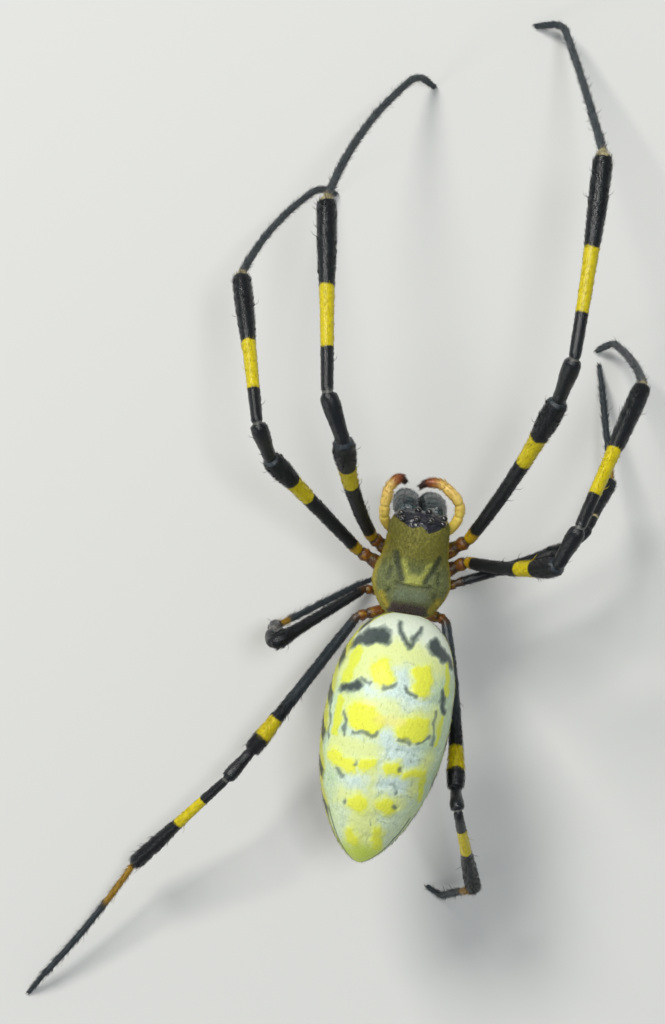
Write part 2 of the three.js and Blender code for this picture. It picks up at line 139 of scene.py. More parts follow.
def profile(*stations):
    """A smooth line of cubics through (place, value) stations, sloped at each by the mean of its secants."""
    places, values = np.array(stations, float).T
    secants = np.diff(values) / np.diff(places)
    slopes = np.concatenate([secants[:1], (secants[1:] + secants[:-1]) / 2, secants[-1:]])

    def at(place):
        x = np.clip(place, 0, 1)
        i = np.clip(np.searchsorted(places, x, side="right") - 1, 0, len(places) - 2)
        span = places[i + 1] - places[i]
        p = (x - places[i]) / span
        rise = p * p * (3 - 2 * p) * (values[i + 1] - values[i])
        return values[i] + rise + span * (p * (1 - p) ** 2 * slopes[i] - p * p * (1 - p) * slopes[i + 1])

    return at


def unit(vectors):
    """Vectors scaled to length 1 along their last axis."""
    return vectors / np.maximum(np.linalg.norm(vectors, axis=-1, keepdims=True), 1e-12)


def smooth(low, high, x):
    """0 below low and 1 above high, with a smooth step p * p * (3 - 2p) between them."""
    p = np.clip((x - low) / (high - low), 0, 1)
    return p * p * (3 - 2 * p)


def strokes(x, y, marks):
    """How deep each place lies in the marks, in mm.

    It is the most, over strokes (x0, y0, x1, y1, half width), of half width less distance from the line.
    """
    most = np.full(np.shape(x), -3.0)
    for x0, y0, x1, y1, half in marks:
        dx, dy = x1 - x0, y1 - y0
        t = np.clip(((x - x0) * dx + (y - y0) * dy) / max(dx * dx + dy * dy, 1e-9), 0, 1)
        most = np.maximum(most, half - np.hypot(x - x0 - t * dx, y - y0 - t * dy))
    return most


def ripple(x, y, size, wave):
    """An uneven wobble of about a size, the sum of four sine waves that cross, about a wave's length long."""
    total = 0
    for number, turn in enumerate((0.3, 1.4, 2.3, 3.9)):
        pace = 2 * math.pi / wave * (1 + 0.23 * number)
        total = total + np.sin(pace * (x * math.cos(turn) + y * math.sin(turn)) + 1.7 * number)
    return total * size / 2


def both(marks):
    """Strokes in (x, y), with their mirror images across x = 0."""
    return [*marks, *[(-x0, y0, -x1, y1, half) for x0, y0, x1, y1, half in marks]]


def grid(rows, cols, low=0.0, high=1.0):
    """Values from low to high along the rows, and angles once round the columns."""
    return np.meshgrid(np.linspace(low, high, rows), np.arange(cols) / cols * 2 * math.pi, indexing="ij")


def lean(points):
    """Points of the front half of the body turned about +Y, through the height of the shield's rim."""
    a = math.radians(HEAD_LEAN)
    x, y, z = points[..., 0], points[..., 1], points[..., 2] - RIM_HEIGHT
    across, rise = x * math.cos(a) + z * math.sin(a), z * math.cos(a) - x * math.sin(a)
    return np.stack([across, y, rise + RIM_HEIGHT], -1)


def ring_normals(rings):
    """Outward unit normals of rings of points: the cross product of the differences along and around."""
    around = np.roll(rings, -1, 1) - np.roll(rings, 1, 1)
    normals = unit(np.cross(around, np.gradient(rings, axis=0)))
    out = rings - rings.mean(1, keepdims=True)
    return normals * (-1 if (normals * out).sum() < 0 else 1)


def along_curve(points, radius, sides):
    """Rings of a round limb along a line of points."""
    way = unit(np.gradient(points, axis=0))
    side = unit(np.cross(way, (0.31, 0.22, 0.92)))
    other = np.cross(way, side)
    turn = np.arange(sides) / sides * 2 * math.pi
    ring = side[:, None] * np.cos(turn)[None, :, None] + other[:, None] * np.sin(turn)[None, :, None]
    return points[:, None] + ring * np.asarray(radius)[:, None, None]


def ellipsoid(centre, size, rows=40, cols=48):
    """Rings of an ellipsoid with its poles along Y."""
    along, turn = grid(rows, cols, 0.02 * math.pi, 0.98 * math.pi)
    ball = np.stack([np.sin(along) * np.sin(turn), -np.cos(along), np.sin(along) * np.cos(turn)], -1)
    return np.array(centre) + ball * np.array(size)


# Meshes


def closed(rings):
    """A tube of rings of points as points, quads, triangles and corners on the unit square, facing outwards.

    Two poles after the rings close its ends, each in the middle of its ring. On the map, around runs across
    and along runs up.
    """
    rows, cols = rings.shape[:2]
    points = np.concatenate([rings.reshape(-1, 3), [rings[0].mean(0), rings[-1].mean(0)]])
    i, j = np.meshgrid(np.arange(rows - 1), np.arange(cols), indexing="ij")
    k = (j + 1) % cols
    quads = np.stack([i * cols + j, i * cols + k, (i + 1) * cols + k, (i + 1) * cols + j], -1).reshape(-1, 4)
    low, high = (i + 0.5) / rows, (i + 1.5) / rows
    left, right = j / cols, (j + 1) / cols
    on_quads = np.stack([left, low, right, low, right, high, left, high], -1).reshape(-1, 4, 2)
    j, k = np.arange(cols), (np.arange(cols) + 1) % cols
    ends, last = np.full(cols, rows * cols), (rows - 1) * cols
    triangles = np.concatenate([np.stack([ends, k, j], -1), np.stack([ends + 1, last + j, last + k], -1)])
    left, right, half, edge = j / cols, (j + 1) / cols, (j + 0.5) / cols, np.full(cols, 0.5 / rows)
    start = np.stack([half, edge * 0, right, edge, left, edge], -1)
    end = np.stack([half, edge * 0 + 1, left, 1 - edge, right, 1 - edge], -1)
    on_triangles = np.concatenate([start, end]).reshape(-1, 3, 2)
    halves = np.concatenate([quads[:, [0, 1, 2]], quads[:, [0, 2, 3]], triangles])
    a, b, c = ((points - points.mean(0))[halves[:, n]] for n in range(3))
    faces = [quads, triangles, on_quads, on_triangles]
    if np.einsum("ij,ij->", a, np.cross(b, c)) < 0:
        faces = [face[:, ::-1] for face in faces]
    return points, *faces


def add_object(name, data):
    """An object of the scene with this data, at the origin."""
    added = bpy.data.objects.new(name, data)
    bpy.context.scene.collection.objects.link(added)
    return added


def make(name, points, faces, fields, look, replaces=()):
    """One object of the spider: points in millimetres, faces with their corners on the map, named fields."""
    quads, triangles, on_quads, on_triangles = faces
    mesh = bpy.data.meshes.new(name)
    mesh.vertices.add(len(points))
    mesh.vertices.foreach_set("co", ((points + WAIST) * MM).astype(np.float32).ravel())
    loops = np.concatenate([quads.ravel(), triangles.ravel()]).astype(np.int32)
    starts = np.concatenate([np.arange(len(quads)) * 4, 4 * len(quads) + np.arange(len(triangles)) * 3])
    mesh.loops.add(len(loops))
    mesh.loops.foreach_set("vertex_index", loops)
    mesh.polygons.add(len(starts))
    mesh.polygons.foreach_set("loop_start", starts.astype(np.int32))
    mesh.update(calc_edges=True)
    mesh.polygons.foreach_set("use_smooth", np.ones(len(starts), bool))
    corners = np.concatenate([on_quads.ravel(), on_triangles.ravel()]).astype(np.float32)
    mesh.uv_layers.new(name="OFBake").data.foreach_set("uv", corners)
    for key, values in fields.items():
        attribute = mesh.attributes.new(key, "FLOAT", "POINT")
        attribute.data.foreach_set("value", values.astype(np.float32).ravel())
    mesh.materials.append(look)
    mesh.validate()
    mesh.update()
    piece = add_object(name, mesh)
    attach(piece, "root")
    if replaces:
        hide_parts(*replaces)
    return piece


def skin(name, shapes, look, replaces=()):
    """One piece of closed tubes, given as (rings, fields) pairs. Each tube has its own strip of the map."""
    parts, spread, base = [], {}, 0
    for number, (rings, fields) in enumerate(shapes):
        points, quads, triangles, *maps = closed(rings)
        for corners in maps:
            corners[..., 0] = (corners[..., 0] + number) / len(shapes)
        parts.append((points, quads + base, triangles + base, *maps))
        base += len(points)
        for key, values in fields.items():
            values = np.broadcast_to(values, rings.shape[:2])
            poles = values[0].mean(), values[-1].mean()
            spread.setdefault(key, []).append(np.append(values.ravel(), poles))
    spread = {key: np.concatenate(values) for key, values in spread.items()}
    points, *faces = (np.concatenate(part) for part in zip(*parts))
    return make(name, points, faces, spread, look, replaces)


class Roots:
    """Random places on a tube's rings, spread by area and weight. read() gives the rings' values at them."""

    def __init__(self, rings, count, weight=1.0, seed=1):
        self.shape = rings.shape[:2]
        rows, cols = self.shape
        area = np.linalg.norm(np.cross(rings[1:] - rings[:-1], (np.roll(rings, -1, 1) - rings)[:-1]), axis=-1)
        chance = (area * np.broadcast_to(weight, self.shape)[:-1]).ravel()
        self.random = np.random.default_rng(seed)
        cell = self.random.choice(chance.size, count if FINE else count // 8, p=chance / chance.sum())
        self.i, self.j = np.divmod(cell, cols)
        self.p, self.q = self.random.random((2, len(cell)))
        self.map = np.stack([(self.j + self.q) / cols, (self.i + self.p + 0.5) / rows], -1)
        self.count = len(cell)

    def read(self, values):
        values = np.asarray(values, float)
        values = np.broadcast_to(values, self.shape + values.shape[2:])
        i, j, k = self.i, self.j, (self.j + 1) % self.shape[1]
        p, q = (s.reshape(-1, *[1] * (values.ndim - 2)) for s in (self.p, self.q))
        low = values[i, j] * (1 - q) + values[i, k] * q
        return low * (1 - p) + (values[i + 1, j] * (1 - q) + values[i + 1, k] * q) * p

    def vary(self, low, high):
        return self.random.uniform(low, high, self.count)


# A hair's sideways swing in radians, its root's depth, its width half way up, and its patch on the map
HAIR_SWING, HAIR_ROOT, HAIR_TAPER, HAIR_PATCH = 0.35, 0.03, 0.75, 0.0015

# How far hairs stay inside the edge of the map and the box of the solids
MAP_EDGE, BOX_MARGIN = 0.002, 0.005


def hairs(name, roots, rings, ways, length, radius, lift, fields, look, bend=0.5):
    """Hairs as closed three-sided spikes in two lengths, one at each root.

    A hair leaves the skin at its lift above its way, in radians. Its outer half keeps the share bend of that.
    """
    place, normal, way = (roots.read(values) for values in (rings, ring_normals(rings), ways))
    normal = unit(normal)
    way = way + unit(np.cross(way, normal)) * roots.vary(-HAIR_SWING, HAIR_SWING)[:, None]
    way = unit(way - (way * normal).sum(1, keepdims=True) * normal)
    side = np.cross(way, normal)
    lift, length, radius = (np.broadcast_to(v, roots.count)[:, None] for v in (lift, length, radius))
    first = way * np.cos(lift) + normal * np.sin(lift)
    second = way * np.cos(lift * bend) + normal * np.sin(lift * bend)
    other = np.cross(side, first)
    points = np.empty((roots.count, 7, 3))
    middle = place + first * length * 0.5
    for k in range(3):
        turn = 2 * math.pi * k / 3
        offset = (side * math.cos(turn) + other * math.sin(turn)) * radius
        points[:, k] = place - first * HAIR_ROOT + offset
        points[:, 3 + k] = middle + offset * HAIR_TAPER
    points[:, 6] = middle + second * length * 0.5
    low, high = (np.array(corner) / MM - WAIST for corner in (cad_low, cad_high))
    points = np.clip(points, low + BOX_MARGIN, high - BOX_MARGIN)
    base = np.arange(roots.count)[:, None, None] * 7
    quads = (base + np.array([(0, 1, 4, 3), (1, 2, 5, 4), (2, 0, 3, 5)])).reshape(-1, 4)
    triangles = (base + np.array([(3, 4, 6), (4, 5, 6), (5, 3, 6), (2, 1, 0)])).reshape(-1, 3)
    a, b, c = points[:, 0], points[:, 1], points[:, 4]
    if np.einsum("ij,ij->", np.cross(b - a, c - a), a - middle) < 0:
        quads, triangles = quads[:, ::-1], triangles[:, ::-1]
    patch = HAIR_PATCH * np.array([(-1, -1), (1, -1), (0, 1), (-0.5, -0.5), (0.5, -0.5), (0, 0.5), (0, 0)])
    spots = (np.clip(roots.map, MAP_EDGE, 1 - MAP_EDGE)[:, None] + patch).reshape(-1, 2)
    spread = {key: np.repeat(roots.read(values), 7) for key, values in fields.items()}
    faces = quads, triangles, spots[quads], spots[triangles]
    return make(name, points.reshape(-1, 3), faces, spread, look)


def coat(name, rings, count, weight, seed, way, length, radius, lift, fields, look, slot):
    """A coat of hairs along a way, with lengths and lifts, in degrees, drawn between two limits each."""
    roots = Roots(rings, count, weight, seed)
    length, lift = roots.vary(*length), np.radians(roots.vary(*lift))
    way = np.broadcast_to(way, rings.shape)
    return hairs(name, roots, rings, way, length, radius, lift, fields, look)


# Materials


class Value:
    """A shader socket that works in sums: each operator adds the Math node that works it out."""

    def __init__(self, paint, socket):
        self.paint, self.socket = paint, socket

    def _math(self, operation, *others):
        return self.paint.node("ShaderNodeMath", {"operation": operation}, self, *others)

    def __add__(self, other):
        return self._math("ADD", other)

    def __sub__(self, other):
        return self._math("SUBTRACT", other)

    def __mul__(self, other):
        return self._math("MULTIPLY", other)

    __radd__ = __add__
    __rmul__ = __mul__

    def __rsub__(self, other):
        return self._math("MULTIPLY", -1.0)._math("ADD", other)

    def most(self, other):
        return self._math("MAXIMUM", other)

    def step(self, low, high):
        """0 below low, 1 above high, smooth between; the other way round where low is above high."""
        if low > high:
            return 1.0 - self.step(high, low)
        limits = {"From Min": low, "From Max": high}
        return self.paint.node("ShaderNodeMapRange", {"interpolation_type": "SMOOTHSTEP"}, self, **limits)


class Paint:
    """One procedural material: a Principled shader with fixed values, and a colour built up in layers."""

    def __init__(self, name, **fixed):
        self.material = bpy.data.materials.new(name)
        self.material.use_nodes = True
        self.tree = self.material.node_tree
        self.shader = self.tree.nodes["Principled BSDF"]
        self.colour = INK
        for key, value in fixed.items():
            self.shader.inputs[key.replace("_", " ")].default_value = value

    def put(self, socket, value):
        """A value onto a socket: a link where it is a shader value, the number itself where it isn't."""
        if isinstance(value, Value):
            self.tree.links.new(value.socket, socket)
        else:
            socket.default_value = value

    def node(self, kind, settings, *inputs, output=0, **named):
        """A node of a kind, with its settings, first inputs in order and others by name; gives one output."""
        made = self.tree.nodes.new(kind)
        for key, value in settings.items():
            setattr(made, key, value)
        for socket, value in zip(made.inputs, inputs):
            self.put(socket, value)
        for key, value in named.items():
            self.put(made.inputs[key], value)
        return Value(self, made.outputs[output])

    def field(self, name):
        return self.node("ShaderNodeAttribute", {"attribute_name": name}, output="Fac")

    def coords(self, sx=1.0, sy=1.0, sz=1.0):
        """The object's own coordinates in millimetres, stretched by a factor along each axis."""
        place, scale = self.node("ShaderNodeTexCoord", {}, output="Object"), (sx / MM, sy / MM, sz / MM)
        return self.node("ShaderNodeVectorMath", {"operation": "MULTIPLY"}, place, scale)

    def noise(self, scale, detail=2.0, rough=0.5, at=None):
        """Noise about 0, mostly from -0.3 to 0.3, with features 1 / scale mm across."""
        named = {"Vector": at or self.coords(), "Scale": scale, "Detail": detail, "Roughness": rough}
        return self.node("ShaderNodeTexNoise", {}, output="Fac", **named) - 0.5

    def cells(self, scale, at=None):
        """Distance from the edges of a net of cells about 1 / scale mm across."""
        named = {"Vector": at or self.coords(), "Scale": scale}
        return self.node("ShaderNodeTexVoronoi", {"feature": "DISTANCE_TO_EDGE"}, output="Distance", **named)

    def mix(self, share, first, second):
        """A colour from first at share 0 to second at share 1."""
        made = self.tree.nodes.new("ShaderNodeMix")
        made.data_type = "RGBA"
        self.put(made.inputs[0], share)
        for socket, value in ((made.inputs[6], first), (made.inputs[7], second)):
            self.put(socket, value if isinstance(value, Value) else (*value, 1.0))
        return Value(self, made.outputs[2])

    def over(self, share, colour):
        """Lays a colour over the paint's own by a share from 0 to 1."""
        self.colour = self.mix(share, self.colour, colour)

    def bump(self, height, strength=0.5, distance=0.0001):
        named = {"Strength": strength, "Distance": distance, "Height": height}
        self.put(self.shader.inputs["Normal"], self.node("ShaderNodeBump", {}, **named))

    def finish(self, **links):
        """Puts the paint's colour, or another that is named, and other sockets' values on the shader."""
        for key, value in {"Base_Color": self.colour, **links}.items():
            self.put(self.shader.inputs[key.replace("_", " ")], value)
        return self.material


def mottled(name, first, second, scale, contrast=1.0, detail=2.0, dents=None, **fixed):
    """Two colours in blotches 1 / scale mm across. Dents: scale, detail, strength and depth in metres."""
    paint = Paint(name, **fixed)
    if dents:
        paint.bump(paint.noise(*dents[:2]), *dents[2:])
    return paint.finish(Base_Color=paint.mix(paint.noise(scale, detail) * contrast + 0.5, first, second))


# Colours, linear
INK = (0.006, 0.008, 0.010)
PITCH = (0.008, 0.007, 0.006)
STEEL = (0.028, 0.038, 0.045)
YELLOW = (0.60, 0.49, 0.004)
GOLD = (0.46, 0.29, 0.008)
ORANGE = (0.30, 0.17, 0.012)
TAN = (0.40, 0.34, 0.18)
SLATE = (0.09, 0.09, 0.08)
RUST = (0.16, 0.055, 0.012)
BROWN = (0.06, 0.030, 0.012)
MOSS = (0.52, 0.66, 0.038)
CREAM = (0.70, 0.77, 0.63)
ICE = (0.60, 0.74, 0.68)
LIME = (0.50, 0.65, 0.33)
LEMON = (0.74, 0.77, 0.07)


# Legs


def side_of(way, side):
    """The level unit direction across a piece, outwards from the body."""
    return -side * unit(np.cross((0, 0, 1), way))


def leg_joints(name):
    """Joints from the socket to the foot's tip; the metatarsus drops so that the tip meets the floor."""
    pair, hip, *angles = LEGS[name]
    lengths, _ = LEG_LENGTHS[pair]
    foot = SHORT_FOOT.get(name, 1)
    side = math.copysign(1, hip[0])
    socket = np.array([side * SOCKET_REACH, SOCKET_PLACES[pair], SOCKET_HEIGHT])
    joints = [socket, np.array([*hip, HIP_HEIGHT])]
    for i, (length, (out, rise, _)) in enumerate(zip(lengths, angles)):
        length = length * (foot if i >= 3 else 1)
        tarsus_drop = lengths[4] * foot * math.sin(math.radians(angles[4][1]))
        slope = math.asin((-joints[-1][2] - tarsus_drop) / length) if rise is None else math.radians(rise)
        out, level = math.radians(out), math.cos(slope)
        way = np.array([side * math.sin(out) * level, math.cos(out) * level, math.sin(slope)])
        joints.append(joints[-1] + way * length)
    return np.array(joints), side


def leg_line(name, step):
    """Rows along a leg's middle line: place, side, back, radius, and stage, which counts its pieces.

    A piece is a straight run with a sideways bow of 4t(1 - t). At a joint the line turns through a quadratic
    curve, and the radius draws in to a narrow neck. The last stretch of the foot is left to its claws.
    """
    joints, side = leg_joints(name)
    pair, _, *angles = LEGS[name]
    stout = LEG_LENGTHS[pair][1]
    runs = np.diff(joints, axis=0)
    sizes = np.linalg.norm(runs, axis=1)
    ways = runs / sizes[:, None]
    across = [side_of(way, side) for way in ways]
    turn = Vector(ways[4]).rotation_difference(Vector(ways[5]))
    across[5] = np.array(turn @ Vector(across[4]))
    radii = []
    for piece in PIECES:
        least = SHIN_RADIUS if piece == "metatarsus" else 0
        radii.append(profile(*[(place, max(least, value * stout)) for place, value in RADII[piece]]))
    corners = [0.0]
    for i in range(1, 6):
        half = math.acos(np.clip(ways[i - 1] @ ways[i], -1, 1)) / 2
        wide = float(radii[i](0))
        wish = FOOT_CURVE if i == 5 else BEND_REACH * wide * math.sin(half) / max(0.1, math.cos(half) ** 2)
        corners.append(min(max(BEND_LEAST, wish), BEND_MOST, BEND_SHARE * min(sizes[i - 1], sizes[i])))
    corners.append(0.0)
    rows = {"place": [], "across": [], "radius": [], "stage": []}
    for i in range(6):
        count = max(10, int(sizes[i] / step))
        t = np.linspace(0, 1 if i < 5 else 1 - CLAW_LENGTH / sizes[5], count, endpoint=i == 5)
        bow = 0 if i == 0 else angles[i - 1][2]
        place = joints[i] + runs[i] * t[:, None]
        aim = np.repeat(across[i][None], count, 0)
        reach = radii[i](t)
        for joint, before, after, s in ((i, i - 1, i, t * sizes[i]), (i + 1, i, i + 1, (t - 1) * sizes[i])):
            if joint in (0, 6):
                continue
            d = corners[joint]
            q = np.clip((s + d) / (2 * d), 0, 1)[:, None]
            curve = joints[joint] - (1 - q) ** 2 * d * ways[before] + q**2 * d * ways[after]
            near = np.abs(s)[:, None] < d
            place = np.where(near, curve, place)
            aim = np.where(near, across[before] + smooth(0, 1, q) * (across[after] - across[before]), aim)
            share = smooth(-JOINT_STEP, JOINT_STEP, s)
            ends = float(radii[before](1)), float(radii[after](0))
            reach = np.where(np.abs(s) < JOINT_STEP, ends[0] + share * (ends[1] - ends[0]), reach)
            neck, half = NECKS[joint]
            reach = reach * (1 - neck * np.exp(-((s / half) ** 2)))
        place = place + across[i] * (bow * 4 * t * (1 - t))[:, None]
        for key, value in (("place", place), ("across", aim), ("radius", reach), ("stage", i + t)):
            rows[key].append(value)
    rows = {key: np.concatenate(value) for key, value in rows.items()}
    rows["way"] = unit(np.gradient(rows["place"], axis=0))
    aim = rows["across"]
    rows["across"] = unit(aim - (aim * rows["way"]).sum(1, keepdims=True) * rows["way"])
    rows["back"] = side * np.cross(rows["across"], rows["way"])
    return rows


def leg_paint(name, bands, matt, coat=False):
    """Bands of colour along a leg by its stage, with ragged edges, duller where its hairs stand thick."""
    paint = Paint(name, Specular_IOR_Level=0.25 if coat else 0.42)
    stage = paint.field("stage") + paint.noise(2.2, 3.0) * 0.03
    paint.colour = bands[0][1]
    for place, value, soft in bands[1:]:
        paint.over(stage.step(place - soft, place + soft), value)
    mottle = paint.noise(4.0, 4.0, 0.6)
    paint.over((mottle + 0.1) * 0.9, PITCH)
    # Golden patches on the coxae and trochanters: partly their own mottling, partly painted highlights
    gold_mottle_and_glint = paint.field("stage").step(1.02, 0.92) * (paint.noise(2.6, 3.0, 0.6) * 3.0 + 0.25)
    paint.over(gold_mottle_and_glint.step(0.1, 1.1) * 0.5, GOLD)
    if coat:
        return paint.finish(Roughness=0.55)
    rough = 0.24 + mottle * 0.15
    for low, high, value in matt:
        inside = stage.step(low - 0.04, low + 0.04) * stage.step(high + 0.04, high - 0.04)
        rough = rough + inside * value
    paint.bump(paint.noise(24.0, 3.0) + paint.noise(70.0, 1.0), 0.3, 0.00003)
    return paint.finish(Roughness=rough)


# Where each pair's colours begin, by stage, and how soft each edge is
LONG_BANDS = (
    (0, RUST), (0.64, BROWN, 0.05), (0.76, RUST, 0.03), (0.92, BROWN, 0.03), (1.005, GOLD, 0.02),
    (1.072, INK, 0.014), (1.58, YELLOW, 0.008), (1.755, INK, 0.008), (1.99, STEEL, 0.004), (2.01, INK, 0.004),
    (2.985, SLATE, 0.004), (3.006, INK, 0.004), (3.225, YELLOW, 0.008), (3.54, INK, 0.008),
    (3.985, TAN, 0.004), (4.02, STEEL, 0.008),
)
SHORT_BANDS = (
    (0, RUST), (0.64, BROWN, 0.05), (0.76, RUST, 0.04), (0.9, BROWN, 0.04), (1.04, INK, 0.03),
    (1.99, STEEL, 0.01), (2.03, INK, 0.01), (3.19, TAN, 0.01), (3.23, INK, 0.01), (3.96, TAN, 0.01),
    (4.0, ORANGE, 0.01), (4.14, STEEL, 0.03),
)
REAR_BANDS = (
    (0, RUST), (0.64, BROWN, 0.05), (0.76, RUST, 0.03), (0.95, BROWN, 0.03), (1.03, STEEL, 0.03),
    (1.6, INK, 0.1), (1.75, YELLOW, 0.008), (1.88, INK, 0.008), (2.985, SLATE, 0.004), (3.01, INK, 0.004),
    (3.235, YELLOW, 0.008), (3.51, INK, 0.008), (4.0, ORANGE, 0.006), (4.32, STEEL, 0.04),
)

# Each pair's bands, and where its hair dulls it: from, to, and how much rougher
PAIR_LOOKS = {
    1: (LONG_BANDS, ((1.05, 1.99, 0.22), (4.02, 6.1, 0.2))),
    3: (SHORT_BANDS, ((1.1, 1.9, 0.1), (4.02, 6.1, 0.2))),
    4: (REAR_BANDS, ((1.1, 1.99, 0.12), (4.02, 6.1, 0.2))),
}
LEG_PAINTS = {pair: [leg_paint(f"leg_{kind}_{pair}", *look, kind == "coat") for kind in ("skin", "coat")]
              for pair, look in PAIR_LOOKS.items()}
LEG_PAINTS[2] = LEG_PAINTS[1]
claw_paint = mottled("claw", INK, BROWN, 8.0, dents=(30.0, 2.0, 0.2, 0.00002), Roughness=0.2)

# A leg's hairs by stage: how many, how long, and how far they stand out in degrees
HAIR_STAGES = (0.0, 1.0, 1.05, 1.5, 1.95, 2.0, 3.0, 3.1, 3.55, 4.0, 4.02, 5.0, 5.1, 6.0)
HAIR_SHARES = (0.4, 0.5, 1.0, 1.2, 1.9, 0.5, 0.4, 0.5, 0.8, 1.9, 1.3, 1.4, 2.2, 2.6)
HAIR_LENGTHS = (0.25, 0.25, 0.25, 0.26, 0.3, 0.16, 0.16, 0.18, 0.24, 0.3, 0.34, 0.34, 0.24, 0.2)
HAIR_LIFTS = (20, 20, 18, 20, 26, 14, 14, 15, 20, 24, 26, 26, 28, 26)

for number, (leg, (pair, *_)) in enumerate(LEGS.items()):
    line = leg_line(leg, LEG_STEP)
    _, turn = grid(len(line["stage"]), LEG_SIDES)
    across, back, stage = line["across"][:, None], line["back"][:, None], line["stage"][:, None]
    inset = COAT * (1 - FOOT_THINNER * smooth(4.0, 4.1, stage))
    rings = across * np.cos(turn)[..., None] + back * np.sin(turn)[..., None]
    rings = line["place"][:, None] + rings * (line["radius"][:, None] - inset)[..., None]
    rings[..., 2] = np.maximum(rings[..., 2], FLOOR_GAP)
    nodes = [f"leg_{leg}_{piece}" for piece in PIECES[:5]]
    skin(f"leg_{leg}", [(rings, {"stage": stage})], LEG_PAINTS[pair][0], nodes)

    count = int(HAIRS_PER_MM * sum(LEG_LENGTHS[pair][0]))
    roots = Roots(rings, count, np.interp(stage, HAIR_STAGES, HAIR_SHARES), number)
    at = roots.read(stage)
    spine = (roots.vary(0, 1) < SPINE_SHARE) & (at > 1.1) & (at < 4.9)
    long = (roots.vary(0, 1) < LONG_SHARE) & (at > 3.9)
    length = np.interp(at, HAIR_STAGES, HAIR_LENGTHS) * roots.vary(0.7, 1.3) * (1 + 0.7 * long)
    length = np.where(spine, roots.vary(0.5, 0.8), length)
    radius = np.where(spine, SPINE_RADIUS, HAIR_RADIUS)
    lift = np.interp(at, HAIR_STAGES, HAIR_LIFTS) * roots.vary(0.6, 1.4) + 30 * spine + 12 * long
    hairs(f"leg_{leg}_hairs", roots, rings, line["way"][:, None], length, radius, np.radians(lift),
          {"stage": stage}, LEG_PAINTS[pair][1], 0.4)

    end, way = line["place"][-1], line["way"][-1]
    hooks = []
    for spread in (-1, 1):
        t = np.linspace(0, 1, 16)[:, None]
        across, back = line["across"][-1] * spread, line["back"][-1]
        hook = end + across * (0.05 + 0.05 * t) + way * (1.15 * t - 0.12) * CLAW_LENGTH
        claw = along_curve(hook + back * 0.1 * np.sin(3 * t), CLAW_RADIUS - 0.026 * t[:, 0], 10)
        claw[..., 2] = np.maximum(claw[..., 2], BOX_MARGIN)
        hooks.append((claw, {}))
    skin(f"leg_{leg}_claws", hooks, claw_paint)


# Front half of the body

# Half width, height and depth of the shield from its rear to its front
shield_width = profile((0, 0.9), (0.06, 1.55), (0.14, 2.05), (0.33, 2.62), (0.45, 2.5), (0.58, 2.22),
                       (0.77, 2.05), (0.88, 1.96), (0.96, 1.68), (1, 1.15))
shield_top = profile((0, 0.3), (0.14, 0.95), (0.3, 1.4), (0.45, 1.55), (0.6, 1.95), (0.78, 2.2), (0.9, 1.95),
                     (0.97, 1.5), (1, 1.0))
shield_under = profile((0, 0.2), (0.3, 0.3), (0.8, 0.5), (1, 0.4))

# Markings of the shield as strokes in (across, ahead); its two rear bands are painted reflection and painted
# shade
SHIELD_MARKS = {
    "fork": both([(0.88, 3.4, 0.5, 2.4, 0.17), (0.0, 2.35, 0.32, 2.35, 0.36)]),
    "groove": both([(1.5, 3.95, 1.2, 3.2, 0.17), (1.2, 3.2, 0.75, 2.3, 0.15), (0.0, 1.92, 1.1, 2.0, 0.06),
                    (1.6, 2.9, 1.7, 2.3, 0.06), (1.5, 1.5, 1.7, 1.2, 0.05)]),
    "dots": both([(0.22, 3.72, 0.3, 3.74, 0.05), (0.55, 3.78, 0.6, 3.8, 0.04),
                  (0.12, 4.4, 0.12, 4.45, 0.04), (0.75, 4.5, 0.8, 4.5, 0.04)]),
    "reflection_band": [(-0.75, 1.32, 0.75, 1.32, 0.34)],
    # The band at the rear is painted shade, where the front edge of the abdomen shades the shield
    "shade": [(-0.85, 0.32, 0.85, 0.32, 0.42)],
}
CORNERS = both([(1.5, 0.5, 1.95, 1.2, 0.26)])
FACE_ACROSS = (-1.9, -1.45, -1.0, -0.72, -0.15, 0.42, 0.95, 1.45, 1.9)
FACE_EDGE = (6.3, 6.05, 5.75, 5.68, 5.9, 5.48, 5.7, 6.05, 6.3)


def shield(rows, cols):
    """Rings of the shield's dome, spaced by a cosine: half width by sin(turn), half height by cos(turn)."""
    along, turn = grid(rows, cols)
    swing = -np.cos(math.pi * along)
    place = (swing + 1) / 2
    rise = np.cos(turn)
    height = np.where(rise > 0, shield_top(place), shield_under(place)) - INSET
    x = (shield_width(place) - INSET) * np.sin(turn)
    y = (HEAD_REAR + HEAD_FRONT) / 2 + swing * ((HEAD_FRONT - HEAD_REAR) / 2 - INSET)
    return np.stack([x, y, RIM_HEIGHT + height * rise], -1), turn


